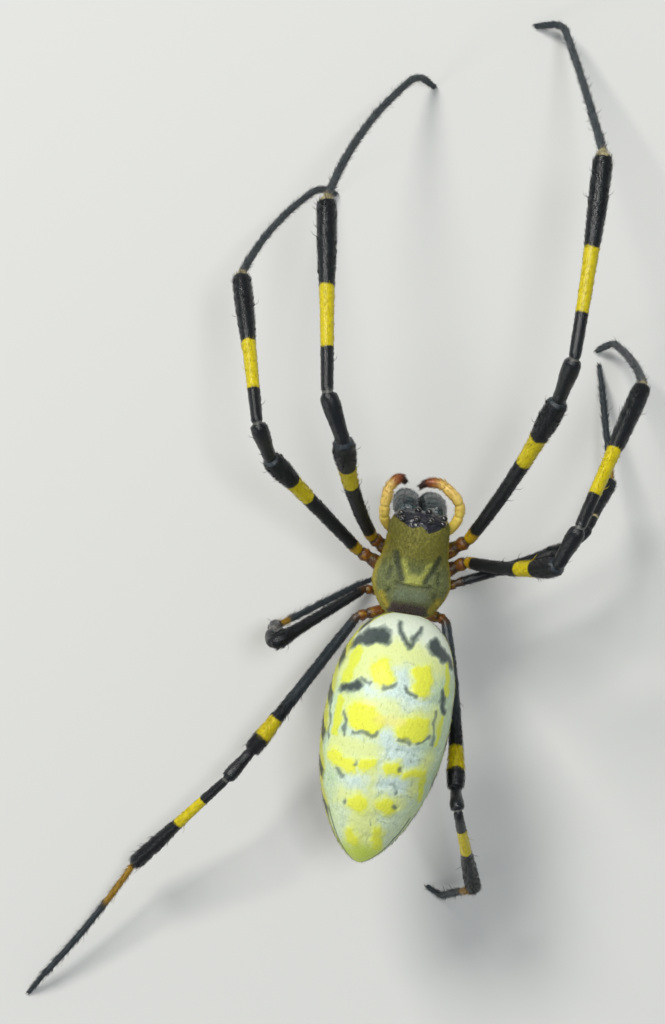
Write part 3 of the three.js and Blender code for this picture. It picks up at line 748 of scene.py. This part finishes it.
def shield_paint(name, coat=False):
    """Olive shield with dark furrows, pale fork, yellow rim, sheen painted on its black face, and a pale band
    of painted reflection and a band of painted shade at its rear.
    """
    paint = Paint(name, Specular_IOR_Level=0.3 if coat else 0.5)
    field, over = paint.field, paint.over
    wander, fine = paint.noise(1.8, 3.0) * 0.3, paint.noise(7.0, 3.0, 0.6)
    ahead = field("ahead") + wander
    paint.colour = paint.mix(ahead.step(2.9, 4.2), (0.17, 0.20, 0.062), (0.25, 0.23, 0.028))
    over((fine + 0.12) * 1.6, (0.08, 0.078, 0.014))
    over((field("fork") + fine * 0.3).step(-0.26, 0.16) * 0.85, (0.50, 0.52, 0.11))
    # Painted reflection: a pale greenish band across the rear slope of the shield
    over((field("reflection_band") + fine * 0.8 + wander * 0.8).step(-0.35, 0.3) * 0.8, (0.26, 0.34, 0.23))
    over((field("groove") + fine * 0.35 + wander * 0.3).step(-0.2, 0.14) * 0.85, (0.03, 0.045, 0.022))
    over(field("dots").step(-0.03, 0.04) * 0.6, PITCH)
    # Painted shade: a dark purplish band across the rear of the shield, under the front edge of the abdomen
    over((field("shade") + wander + fine * 0.3).step(-0.3, 0.15) * 0.9, (0.05, 0.024, 0.04))
    rim = (field("rim") + wander * 0.4).step(-0.12, 0.2)
    over(rim * 0.85, (0.42, 0.34, 0.03))
    face = (field("face") + wander * 0.35).step(-0.04, 0.07)
    # The black face, with lighter bluish patches painted on it as sheen
    over(face, paint.mix(fine * 1.5 + 0.2, (0.008, 0.009, 0.014), (0.05, 0.055, 0.07)))
    if coat:
        speckles = paint.noise(9.0, 2.0) + ahead.step(3.8, 2.6) * 0.12
        # The hairs are paler in the band of painted reflection, and in pale speckles over the thorax
        pale = field("reflection_band").step(-0.5, 0.2) * 0.3 + speckles.step(-0.05, 0.2) * 0.5
        over(pale * (1.0 - rim * 0.6), (0.42, 0.42, 0.26))
        return paint.finish(Roughness=0.5)
    grain, lumps = paint.noise(22.0, 2.0) * (0.5 - face * 0.4), paint.noise(1.4, 2.0) * face * 6.0
    paint.bump(fine * (1.0 - face * 0.6) + grain + lumps, 0.6, 0.0001)
    return paint.finish(Roughness=0.5 - face * 0.34)


rows, cols = (190, 180) if FINE else (60, 60)
dome, turn = shield(rows, cols)
x, y = dome[..., 0], dome[..., 1]
half_turn = np.minimum(turn, 2 * math.pi - turn)
shield_fields = {
    "ahead": y,
    **{name: strokes(x, y, lines) for name, lines in SHIELD_MARKS.items()},
    "rim": np.maximum(np.minimum(half_turn - 1.16, 5.2 - y), strokes(x, y, CORNERS)),
    "face": y - np.interp(x, FACE_ACROSS, FACE_EDGE),
}
carved = 0.1 * smooth(-0.22, 0.12, shield_fields["groove"])
carved = carved + 0.05 * smooth(-0.3, 0.1, -np.abs(shield_fields["face"]))
dome = lean(dome - ring_normals(dome) * (carved + INSET)[..., None])
skin("carapace_skin", [(dome, shield_fields)], shield_paint("carapace_skin"), ("carapace",))
bare = smooth(-0.12, 0.0, shield_fields["face"])
weight = (1 - bare) * smooth(2.0, 1.7, half_turn) * (1 + smooth(-0.4, 0.1, shield_fields["reflection_band"]))
coat("carapace_hairs", dome, 9000, weight, 20, (0.0, 1.0, 0.1), (0.14, 0.26), 0.008, (12, 35), shield_fields,
     shield_paint("carapace_coat", True), "carapace")

brown = mottled("underside_skin", (0.03, 0.018, 0.006), (0.11, 0.07, 0.012), 3.0, 1.5, 3.0,
                (14.0, 3.0, 0.4, 0.00005), Roughness=0.45)
chest = ellipsoid((0, 2.75, 9.3), (1.12, 2.87, 1.18))
skin("chest_membrane", [(lean(chest), {})], brown)

# The chest plate: a flat tube, broad in the middle and narrow ahead, with a pale streak
STERNUM_REAR, STERNUM_LENGTH, STERNUM_HEIGHT = 0.38, 4.99, 8.05
sternum_width = profile((0, 0.3), (0.2, 0.7), (0.5, 1.12), (0.7, 1.05), (0.82, 0.66), (0.88, 0.32), (1, 0.22))
along, turn = grid(90, 60)
across = (sternum_width(along) - INSET) * np.sin(turn)
thick = np.where(np.cos(turn) > 0, 0.14, 0.3) - INSET
plate = [across, STERNUM_REAR + STERNUM_LENGTH * along, STERNUM_HEIGHT + thick * np.cos(turn)]
plate = lean(np.stack(plate, -1))
middle = 0.42 - np.abs(across) - 0.25 * smooth(0.5, 0.9, along)
sternum_paint = Paint("sternum_skin", Roughness=0.4)
streak = (sternum_paint.field("middle") + sternum_paint.noise(2.5, 3.0) * 0.4).step(-0.08, 0.1)
sternum_paint.bump(sternum_paint.noise(16.0, 3.0), 0.4, 0.00005)
sternum_paint.colour = sternum_paint.mix(streak, (0.022, 0.014, 0.008), (0.3, 0.21, 0.02))
sternum_paint = sternum_paint.finish()
skin("sternum_skin", [(plate, {"middle": middle})], sternum_paint, ("sternum",))
coat("sternum_hairs", plate, 700, smooth(0.2, -0.2, np.cos(turn)), 21, (0.0, 1.0, 0.0), (0.2, 0.4), 0.01,
     (20, 45), {"middle": middle}, sternum_paint, "underside")


def catmull(points, count):
    """A line of evenly spaced points on the centripetal spline through the given ones."""
    points = np.array(points, float)
    points = np.concatenate([[2 * points[0] - points[1]], points, [2 * points[-1] - points[-2]]])
    line = []
    for i in range(1, len(points) - 2):
        p0, p1, p2, p3 = points[i - 1 : i + 3]
        t = np.linspace(0, 1, 24, endpoint=i == len(points) - 3)[:, None]
        d01, d12, d23 = (np.sqrt(np.linalg.norm(b - a)) for a, b in ((p0, p1), (p1, p2), (p2, p3)))
        m1 = (p2 - p1) + d12 * ((p1 - p0) / d01 - (p2 - p0) / (d01 + d12))
        m2 = (p2 - p1) + d12 * ((p3 - p2) / d23 - (p3 - p1) / (d12 + d23))
        starts = (2 * t**3 - 3 * t**2 + 1) * p1 + (t**3 - 2 * t**2 + t) * m1
        line.append(starts + (3 * t**2 - 2 * t**3) * p2 + (t**3 - t**2) * m2)
    line = np.concatenate(line)
    run = np.concatenate([[0], np.cumsum(np.linalg.norm(np.diff(line, axis=0), axis=1))])
    even = np.linspace(0, run[-1], count)
    return np.stack([np.interp(even, run, line[:, k]) for k in range(3)], -1)


jaw = Paint("jaw_skin", Specular_IOR_Level=0.6)
sheen = jaw.noise(1.6, 3.0, 0.6)
jaw.bump(jaw.noise(1.2, 3.0, 0.5) + jaw.noise(12.0, 2.0) * 0.06, 0.9, 0.0004)
jaw.colour = jaw.mix(sheen * 2.5 + 0.3, (0.006, 0.010, 0.014), (0.05, 0.085, 0.085))
jaw = jaw.finish(Roughness=0.2 + sheen * 0.2)
jaw_radius = profile((0, 0.55), (0.18, 0.85), (0.45, 0.95), (0.75, 0.82), (1, 0.5))
JAW_FLAT = 0.15

# A fang's base, bend and point from its jaw's tip, how far it reaches back into the jaw, and its radius
FANG = np.array([(0.08, 0.1, -0.4), (-0.05, -0.05, -1.05), (-0.52, -0.75, -1.0)])
FANG_ROOT = 0.4
fang_radius = profile((0, 0.26), (0.5, 0.2), (1, 0.07))
fang_paint = mottled("fang_skin", (0.03, 0.005, 0.003), INK, 4.0, dents=(20.0, 2.0, 0.2, 0.00003),
                     Roughness=0.2)


def palp_paint(name, coat=False):
    """Amber palp, redder towards its end, with a dark tip."""
    paint = Paint(name, Roughness=0.55 if coat else 0.35)
    along = paint.field("along") + paint.noise(2.5, 3.0) * 0.1
    paint.colour = paint.mix(along.step(0.3, 0.75), (0.78, 0.60, 0.11), (0.80, 0.56, 0.15))
    paint.over(paint.noise(4.0, 3.0) + 0.1, (0.52, 0.24, 0.03))
    paint.over(along.step(0.76, 0.88), (0.36, 0.10, 0.03))
    paint.over(along.step(0.86, 0.95), (0.02, 0.008, 0.008))
    if coat:
        paint.over(0.2, (0.10, 0.05, 0.02))
    else:
        paint.bump(paint.noise(22.0, 3.0), 0.35, 0.00004)
    return paint.finish()


PALP_PAINTS = [palp_paint("palp_skin"), palp_paint("palp_coat", True)]
PALP_PATHS = {
    "left": ((-1.0, 5.25, 8.45), (-1.75, 5.55, 9.1), (-2.28, 6.03, 9.68), (-2.46, 6.7, 10.2),
             (-2.48, 7.4, 10.5), (-2.38, 8.1, 10.6), (-2.05, 8.62, 10.6), (-1.7, 8.82, 10.55),
             (-1.35, 8.55, 10.45)),
    "right": ((1.0, 5.25, 8.45), (1.85, 5.7, 9.15), (2.42, 6.6, 9.85), (2.46, 7.4, 10.2), (2.12, 7.99, 10.5),
              (1.53, 8.45, 10.6), (0.95, 8.8, 10.6), (0.42, 8.83, 10.6), (-0.05, 8.72, 10.5),
              (-0.42, 8.4, 10.35)),
}
PALP_JOINTS, PALP_NECK = (0.12, 0.4, 0.53, 0.74), 0.016
palp_radius = profile((0, 0.3), (0.2, 0.35), (0.6, 0.37), (0.85, 0.32), (1, 0.15))

for number, (hand, side) in enumerate((("left", -1), ("right", 1))):
    along, turn = grid(90, 60)
    centre = JAW_TOP + (JAW_TIP - JAW_TOP) * along[..., None]
    reach = jaw_radius(along) - INSET
    x = np.maximum(JAW_FLAT + INSET, centre[..., 0] + reach * np.sin(turn)) * side
    y = centre[..., 1] + reach * np.cos(turn) + JAW_FORWARD * 4 * along * (1 - along)
    rings = lean(np.stack([x, y, centre[..., 2]], -1))
    skin(f"chelicera_{hand}_skin", [(rings, {})], jaw, (f"chelicera_{hand}",))
    inner = 1.5 * smooth(0.75, 1, -np.sin(turn))
    weight = smooth(0.3, 1, along) * smooth(-0.3, 0.4, np.cos(turn)) + inner + 0.03
    coat(f"chelicera_{hand}_hairs", rings, 1500, weight, 22 + number, (0.0, 0.25, -1.0), (0.2, 0.45), 0.011,
         (15, 45), {}, jaw, "jaw")

    t = np.linspace(-FANG_ROOT, 1, 40)[:, None]
    base, bend, point = (JAW_TIP + FANG) * (side, 1, 1)
    hook = (1 - t) ** 2 * base + 2 * t * (1 - t) * bend + t**2 * point
    fang = lean(along_curve(hook, fang_radius(t[:, 0]) - 0.02, 20))
    skin(f"fang_{hand}_skin", [(fang, {})], fang_paint, (f"fang_{hand}",))

    t = np.linspace(0, 1, 130)
    thin = sum(0.05 * np.exp(-(((t - joint) / PALP_NECK) ** 2)) for joint in PALP_JOINTS)
    palp = lean(along_curve(catmull(PALP_PATHS[hand], 130), palp_radius(t) - INSET - thin, 28))
    fields = {"along": t[:, None]}
    skin(f"palp_{hand}_skin", [(palp, fields)], PALP_PAINTS[0], (f"palp_{hand}",))
    way = unit(np.gradient(palp.mean(1), axis=0))[:, None]
    coat(f"palp_{hand}_hairs", palp, 900, 0.25 + 2.2 * smooth(0.5, 0.95, t)[:, None], 24 + number, way,
         (0.16, 0.32), 0.009, (15, 50), fields, PALP_PAINTS[1], "palp")
    lobe = ellipsoid((side * 0.96, 5.36, 8.1), (0.38, 0.7, 0.4))
    skin(f"palp_{hand}_lobe", [(lean(lobe), {})], brown)

eye_paint = mottled("eye_glass", INK, (0.01, 0.006, 0.004), 6.0, Roughness=0.05, Coat_Weight=1.0,
                    Coat_Roughness=0.02)
for node in [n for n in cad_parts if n.startswith("eye_")]:
    low, high = (np.array(corner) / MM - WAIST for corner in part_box(node))
    ball = ellipsoid((low + high) / 2, (high - low) / 2, 28, 32)
    skin(f"{node}_ball", [(ball, {})], eye_paint, (node,))


# Rear half of the body


def fullness(behind):
    """How full the abdomen is: blunt ahead of the widest place, drawn out behind it."""
    b = np.clip(behind, 0, LENGTH)
    ahead = (1 - np.abs(1 - np.minimum(b, WIDEST) / WIDEST) ** 2.6) ** 0.42
    after = (1 - (np.maximum(b - WIDEST, 0) / (LENGTH - WIDEST)) ** 2).clip(0) ** 0.66
    return np.where(b < WIDEST, ahead, after)


def abdomen_middle(behind):
    """Middle line of the abdomen: high at the widest place, lower towards the waist and the tail."""
    ahead = np.maximum(0, 1 - behind / WIDEST)
    after = np.maximum(0, (behind - WIDEST) / (LENGTH - WIDEST))
    a = math.radians(TURN)
    z = HEIGHT - FRONT_DROP * ahead**2 - TAIL_DROP * after**2
    return np.stack([-behind * math.sin(a), FRONT - behind * math.cos(a), z], -1)


def abdomen_rings(rows, cols):
    """Rings of the abdomen, their distance behind its front and their angle from the middle of its back."""
    along, turn = grid(rows, cols)
    place = 0.004 + 0.992 * (1 - np.cos(math.pi * along)) / 2
    behind = place * LENGTH
    turn = np.where(turn > math.pi, turn - 2 * math.pi, turn)
    full = fullness(behind)
    points = abdomen_middle(behind)
    points[..., 1] -= INSET * np.cos(math.pi * along)
    points[..., 0] += (HALF_WIDTH * full - INSET) * np.sin(turn)
    points[..., 2] += (np.where(np.cos(turn) > 0, UP, DOWN) * full - INSET) * np.cos(turn)
    return points, behind, turn


# Markings of the abdomen as strokes in (behind its front, across its back)
LEMONS = (
    (3.65, -1.07, 4.16, -0.87, 0.66), (3.74, 1.62, 4.42, 1.79, 0.69), (6.71, -1.97, 7.13, -1.10, 0.82),
    (7.20, 1.31, 7.06, 2.09, 0.79), (9.82, -0.95, 9.77, -0.71, 0.41), (9.82, 0.67, 9.77, 0.98, 0.41),
    (9.56, -3.51, 10.10, -1.81, 0.44), (10.07, 1.70, 9.82, 3.15, 0.28), (12.29, -1.05, 12.48, -0.68, 0.50),
    (12.24, 0.77, 12.26, 1.10, 0.50), (14.41, -1.10, 14.95, -0.64, 0.38), (14.10, 0.71, 15.07, 0.97, 0.35),
)
BRIDGE = ((6.80, -0.66, 6.78, 0.71, 0.25),)
STREAKS = (
    (6.10, -3.70, 8.00, -3.61, 0.35), (7.20, -4.96, 9.02, -5.37, 0.16), (2.80, -3.06, 4.92, -3.67, 0.38),
    (3.06, 3.77, 4.56, 3.98, 0.28), (6.21, 3.89, 7.96, 3.82, 0.22), (10.00, 3.22, 11.63, 3.65, 0.25),
    (10.59, -4.38, 11.63, -4.76, 0.19),
)
WASHES = (
    (3.18, -3.42, 2.52, -0.40, 0.88), (4.05, -3.80, 3.36, -1.72, 1.01), (2.33, 0.01, 3.10, 2.81, 0.76),
    (6.31, -3.06, 6.26, -0.01, 0.88), (6.78, 0.71, 6.50, 3.25, 0.88), (8.92, -3.26, 8.94, -0.74, 0.76),
    (10.05, -0.41, 15.33, 0.51, 0.38), (12.03, -2.16, 12.12, 1.84, 0.57), (13.07, -0.57, 15.37, 0.20, 0.88),
    (8.94, 3.43, 10.97, 2.71, 0.57), (9.18, -0.21, 12.10, 0.05, 0.16),
)
DARKS = (
    (1.60, -1.27, 1.79, -2.62, 0.54), (1.86, -2.59, 2.47, -4.15, 0.38), (1.76, 2.08, 2.35, 3.31, 0.47),
    (2.35, 3.31, 2.80, 4.45, 0.35), (0.68, -0.49, 1.97, 0.32, 0.19), (0.80, 1.04, 1.95, 0.41, 0.20),
    (4.82, -0.66, 4.49, -0.09, 0.13), (4.68, 0.72, 5.08, 1.40, 0.14), (4.56, -2.16, 4.61, -1.67, 0.10),
    (7.84, -2.15, 7.93, -0.81, 0.11), (7.93, -0.81, 7.60, -0.44, 0.10), (7.86, 0.79, 8.00, 1.61, 0.10),
    (7.96, 2.15, 7.56, 3.00, 0.09), (4.94, -2.45, 5.32, -3.75, 0.32), (4.71, 3.50, 5.77, 3.98, 0.25),
    (5.91, -4.82, 8.61, -4.23, 0.11), (6.75, -3.03, 8.19, -2.76, 0.10), (9.86, -1.53, 9.86, -1.53, 0.11),
    (9.72, 1.29, 9.72, 1.29, 0.11), (12.45, -1.77, 12.45, -1.77, 0.13), (12.29, 1.59, 12.29, 1.59, 0.13),
    (11.23, 1.35, 11.23, 1.35, 0.08), (10.40, -2.74, 10.73, -2.35, 0.09), (5.86, 3.17, 7.98, 3.41, 0.08),
)
SCRATCHES = both([(7.9, 0.22, 13.6, 0.2, 0.02), (9.0, 0.45, 11.6, 0.4, 0.01), (4.9, 1.5, 5.3, 2.6, 0.02),
                  (8.5, 0.9, 8.8, 2.4, 0.02), (9.1, 1.9, 9.0, 3.1, 0.03), (10.9, 0.8, 11.2, 2.9, 0.03),
                  (11.6, 1.4, 11.4, 2.9, 0.02), (13.3, 0.5, 13.4, 1.9, 0.02), (10.0, 2.2, 10.9, 2.4, 0.02),
                  (5.7, 0.3, 6.0, 1.4, 0.02), (3.0, 0.2, 3.2, 1.8, 0.01), (14.4, 0.2, 15.2, 0.4, 0.02)])
FOLDS = both([(5.5, 0.0, 5.2, 4.2, 0.1), (8.7, 0.0, 8.5, 4.2, 0.1), (11.1, 0.0, 10.8, 3.8, 0.1),
              (13.2, 0.0, 12.9, 3.0, 0.08), (14.6, 0.0, 14.3, 2.2, 0.06)])
PITS = both([(4.7, 0.95, 4.7, 0.95, 0.1), (7.85, 1.3, 7.85, 1.3, 0.1), (9.8, 1.4, 9.8, 1.4, 0.1),
             (12.35, 1.68, 12.35, 1.68, 0.1)])

# Beneath, in (behind its front, out from the middle of its belly)
LUNGS = ((2.3, 1.1, 3.5, 1.5, 0.45),)
PLATE = ((3.3, 0.0, 3.9, 0.0, 0.35), (4.1, 0.0, 4.0, 2.2, 0.06))
BELLY_BARS = ((5.2, 0.5, 5.6, 2.6, 0.22), (7.6, 0.4, 7.8, 2.8, 0.24), (10.2, 0.4, 10.3, 2.4, 0.2))
VENT = ((12.2, 0.0, 13.2, 0.9, 0.5),)


def abdomen_paint(name, coat=False):
    """Cream front, bluish back with yellow spots, dark brows and scribbles, streaked flanks, dark belly."""
    paint = Paint(name, Specular_IOR_Level=0.2 if coat else 0.32)
    field, over = paint.field, paint.over
    wander, fine = paint.noise(1.3, 2.0, 0.45) * 0.5, paint.noise(5.0, 3.0, 0.6)
    streaky = paint.noise(3.0, 4.0, 0.65, at=paint.coords(1.4, 0.5, 1.0))
    net = paint.cells(2.6) + fine * 0.3
    behind, aside = field("behind") + wander, field("aside") + wander * 2.0
    paint.colour = paint.mix(behind.step(2.3, 3.8), CREAM, ICE)
    over(aside.step(1.6, 3.2) * behind.step(2.6, 4.0) * 0.8, LIME)
    over(behind.step(10.5, 14.0) * 0.6, (0.66, 0.76, 0.30))
    over((streaky + 0.1) * 1.8 * behind.step(2.0, 4.0), (0.36, 0.47, 0.40))
    over(net.step(0.08, 0.0) * 0.3 * behind.step(2.5, 4.0), (0.82, 0.92, 0.78))
    over((field("washes") + wander + fine * 0.5).step(-0.5, 0.5) * 0.85, (0.69, 0.76, 0.27))
    scratch = (field("scratches") + fine * 0.16 + wander * 0.1).step(-0.1, 0.06)
    over(scratch * (streaky + 0.3) * 1.6, (0.20, 0.26, 0.20))
    over((field("streaks") + wander * 0.3 + fine * 0.1).step(-0.2, 0.1), (0.66, 0.72, 0.07))
    lemon = field("lemons") + wander * 0.4 + fine * 0.3
    over(lemon.step(-0.4, 0.02) * 0.7, (0.72, 0.79, 0.19))
    over(lemon.step(-0.08, 0.16), LEMON)
    over((field("bridge") + wander * 0.3).step(-0.3, 0.2) * 0.7, (0.76, 0.70, 0.17))
    dark = field("darks") + wander * 0.22 + fine * 0.15
    over(dark.step(-0.14, 0.06) * 0.75, (0.13, 0.18, 0.16))
    over(dark.step(0.0, 0.24) * 0.95, (0.045, 0.062, 0.062))
    flank = (field("flank") + wander * 0.25).step(-0.12, 0.12)
    stripe = (field("stripe") + wander * 1.5 + fine).step(-0.5, 0.1)
    over(flank, paint.mix(stripe, (0.05, 0.06, 0.022), (0.52, 0.54, 0.06)))
    over((behind + fine * 0.5).step(14.7, 15.7) * 0.85, MOSS)
    over((field("lines") + fine * 0.1).step(-0.1, 0.04) * 0.9, (0.03, 0.035, 0.02))
    web = paint.mix(net.step(0.12, 0.03) * 0.8, (0.045, 0.032, 0.014), (0.30, 0.27, 0.03))
    web = paint.mix((field("bars") + wander * 0.6).step(-0.1, 0.1), web, (0.52, 0.46, 0.04))
    web = paint.mix((field("lungs") + fine * 0.1).step(-0.1, 0.08), web, (0.22, 0.15, 0.04))
    web = paint.mix((field("plate") + fine * 0.1).step(-0.05, 0.05), web, (0.02, 0.008, 0.004))
    web = paint.mix((field("vent") + wander).step(-0.3, 0.3), web, (0.34, 0.07, 0.012))
    over((field("round") + wander * 0.5).step(1.78, 1.98), web)
    if coat:
        over(0.1 - dark.step(-0.2, 0.1) * 0.1, (0.6, 0.6, 0.5))
        return paint.finish(Roughness=0.5)
    grain = paint.noise(26.0, 2.0) * 0.2
    paint.bump(net.step(0.0, 0.2) * 0.15 + fine * 0.4 + streaky * 0.8 + grain, 0.5, 0.00008)
    return paint.finish(Roughness=0.36 + fine * 0.15)


rows, cols = (300, 300) if FINE else (90, 80)
rings, behind, turn = abdomen_rings(rows, cols)
out = np.abs(turn)
across, beneath = turn * 4.0 * fullness(behind), (math.pi - out) * DOWN * fullness(behind)
near = behind + ripple(behind, across, 0.08, 1.7) + ripple(across, behind, 0.03, 0.6)
aside = across + ripple(across, behind, 0.09, 1.5) + ripple(behind, across, 0.035, 0.7)
marks = {"lemons": LEMONS, "bridge": BRIDGE, "streaks": STREAKS, "washes": WASHES, "darks": DARKS,
         "scratches": SCRATCHES}
under_marks = {"bars": BELLY_BARS, "lungs": LUNGS, "plate": PLATE, "vent": VENT}
rim_lines = [width - np.abs(out - place) * 4 * fullness(behind)
             for place, width in ((1.12, 0.05), (1.36, 0.07))]
abdomen_fields = {
    "behind": behind,
    "aside": np.abs(across),
    "round": out,
    "flank": out - np.where(turn > 0, 1.42, 1.2) + 0.06 * np.sin(2.6 * behind),
    "stripe": np.sin(2.6 * behind + 1.5 * out * HALF_WIDTH),
    "lines": np.maximum(*rim_lines) - 0.3 * smooth(13.2, 12.2, behind),
    **{name: strokes(near, aside, lines) for name, lines in marks.items()},
    **{name: strokes(behind, beneath, lines) for name, lines in under_marks.items()},
}
dent = 0.07 * smooth(-0.2, 0.05, strokes(behind, across, PITS))
dent = dent + 0.06 * smooth(0.25, -0.3, abdomen_fields["lemons"])
dent = dent + 0.05 * smooth(-0.35, 0.1, strokes(near, aside, FOLDS) + ripple(aside, near, 0.05, 0.9))
dent = dent + 0.05 * smooth(-0.1, 0.02, abdomen_fields["plate"])
rings = rings - ring_normals(rings) * dent[..., None]
skin("abdomen_skin", [(rings, abdomen_fields)], abdomen_paint("abdomen_skin"), ("abdomen",))
coat("abdomen_hairs", rings, 6000, 0.5 + 0.8 * smooth(1.0, 1.9, out), 30, (0.0, -1.0, 0.0), (0.16, 0.3),
     0.008, (15, 40), abdomen_fields, abdomen_paint("abdomen_coat", True), "abdomen")

t = np.linspace(0, 1, 60)[:, None]
waist_line = np.array((0, 0.6, 9.9)) * (1 - t) + np.array([*abdomen_middle(np.float64(2.6))[:2], 11.6]) * t
waist_radius = 0.42 - 0.03 * (1 + np.sin(40 * t[:, 0]))
skin("pedicel_skin", [(along_curve(waist_line, waist_radius, 32), {})], brown, ("pedicel",))

seat = np.array([*abdomen_middle(np.float64(14.3))[:2], 11.5])
cone_radius = profile((0, 0.3), (0.6, 0.27), (1, 0.12))
cones = [(ellipsoid(seat, (0.92, 0.97, 0.72)), {})]
for ahead, spread, length in ((0.35, 0.42, 1.5), (-0.05, 0.22, 1.15), (-0.5, 0.38, 1.55)):
    for side in (-1, 1):
        root = seat + (side * spread, ahead, -0.2)
        tip = root + (side * 0.05, -0.35, 0.35 - length)
        t = np.linspace(0, 1, 30)[:, None]
        cones.append((along_curve(root * (1 - t) + tip * t, cone_radius(t[:, 0]), 24), {}))
skin("spinnerets_skin", cones, brown, ("spinnerets",))


# Floor, lights and camera
floor_mesh = bpy.data.meshes.new("floor")
floor_mesh.from_pydata([(-1, -1, 0), (1, -1, 0), (1, 1, 0), (-1, 1, 0)], [], [(0, 1, 2, 3)])
floor = add_object("floor", floor_mesh)
floor_mesh.materials.append(Paint("floor", Roughness=0.8).finish(Base_Color=(0.62, 0.62, 0.6, 1)))
floor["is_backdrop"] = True

world = bpy.data.worlds.new("studio")
bpy.context.scene.world = world
world.use_nodes = True
world.node_tree.nodes["Background"].inputs["Color"].default_value = (0.92, 0.96, 1.0, 1)
world.node_tree.nodes["Background"].inputs["Strength"].default_value = 0.3
bpy.context.scene.view_settings.view_transform = "Standard"


def area_light(name, place, size, watts, colour):
    """A square lamp that shines at the middle of the floor."""
    data = bpy.data.lights.new(name, "AREA")
    data.size = size
    data.energy = watts
    data.color = colour
    lamp = add_object(name, data)
    lamp.location = place
    lamp.rotation_euler = (-Vector(place)).to_track_quat("-Z", "Y").to_euler()


area_light("key", (-0.20, 0.22, 0.36), 0.14, 1.65, (1.0, 0.98, 0.94))
area_light("fill", (0.05, 0.03, 0.42), 0.07, 0.5, (0.92, 0.97, 1.0))
area_light("rim", (-0.30, -0.25, 0.16), 0.15, 0.3, (1.0, 1.0, 0.98))

CAMERA_PLACE = (WAIST + (-5.76, 5.95, 231.0)) * MM
up = Vector((-0.153, 0.988, 0)).normalized()
right = up.cross(Vector((0, 0, 1)))
camera_data = bpy.data.cameras.new("camera")
camera_data.sensor_width = 36
camera_data.lens = 119.0
camera_data.clip_start, camera_data.clip_end = 0.005, 5
camera = add_object("camera", camera_data)
camera.matrix_world = Matrix.Translation(CAMERA_PLACE) @ Matrix((right, up, (0, 0, 1))).transposed().to_4x4()
bpy.context.scene.camera = camera

low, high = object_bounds()
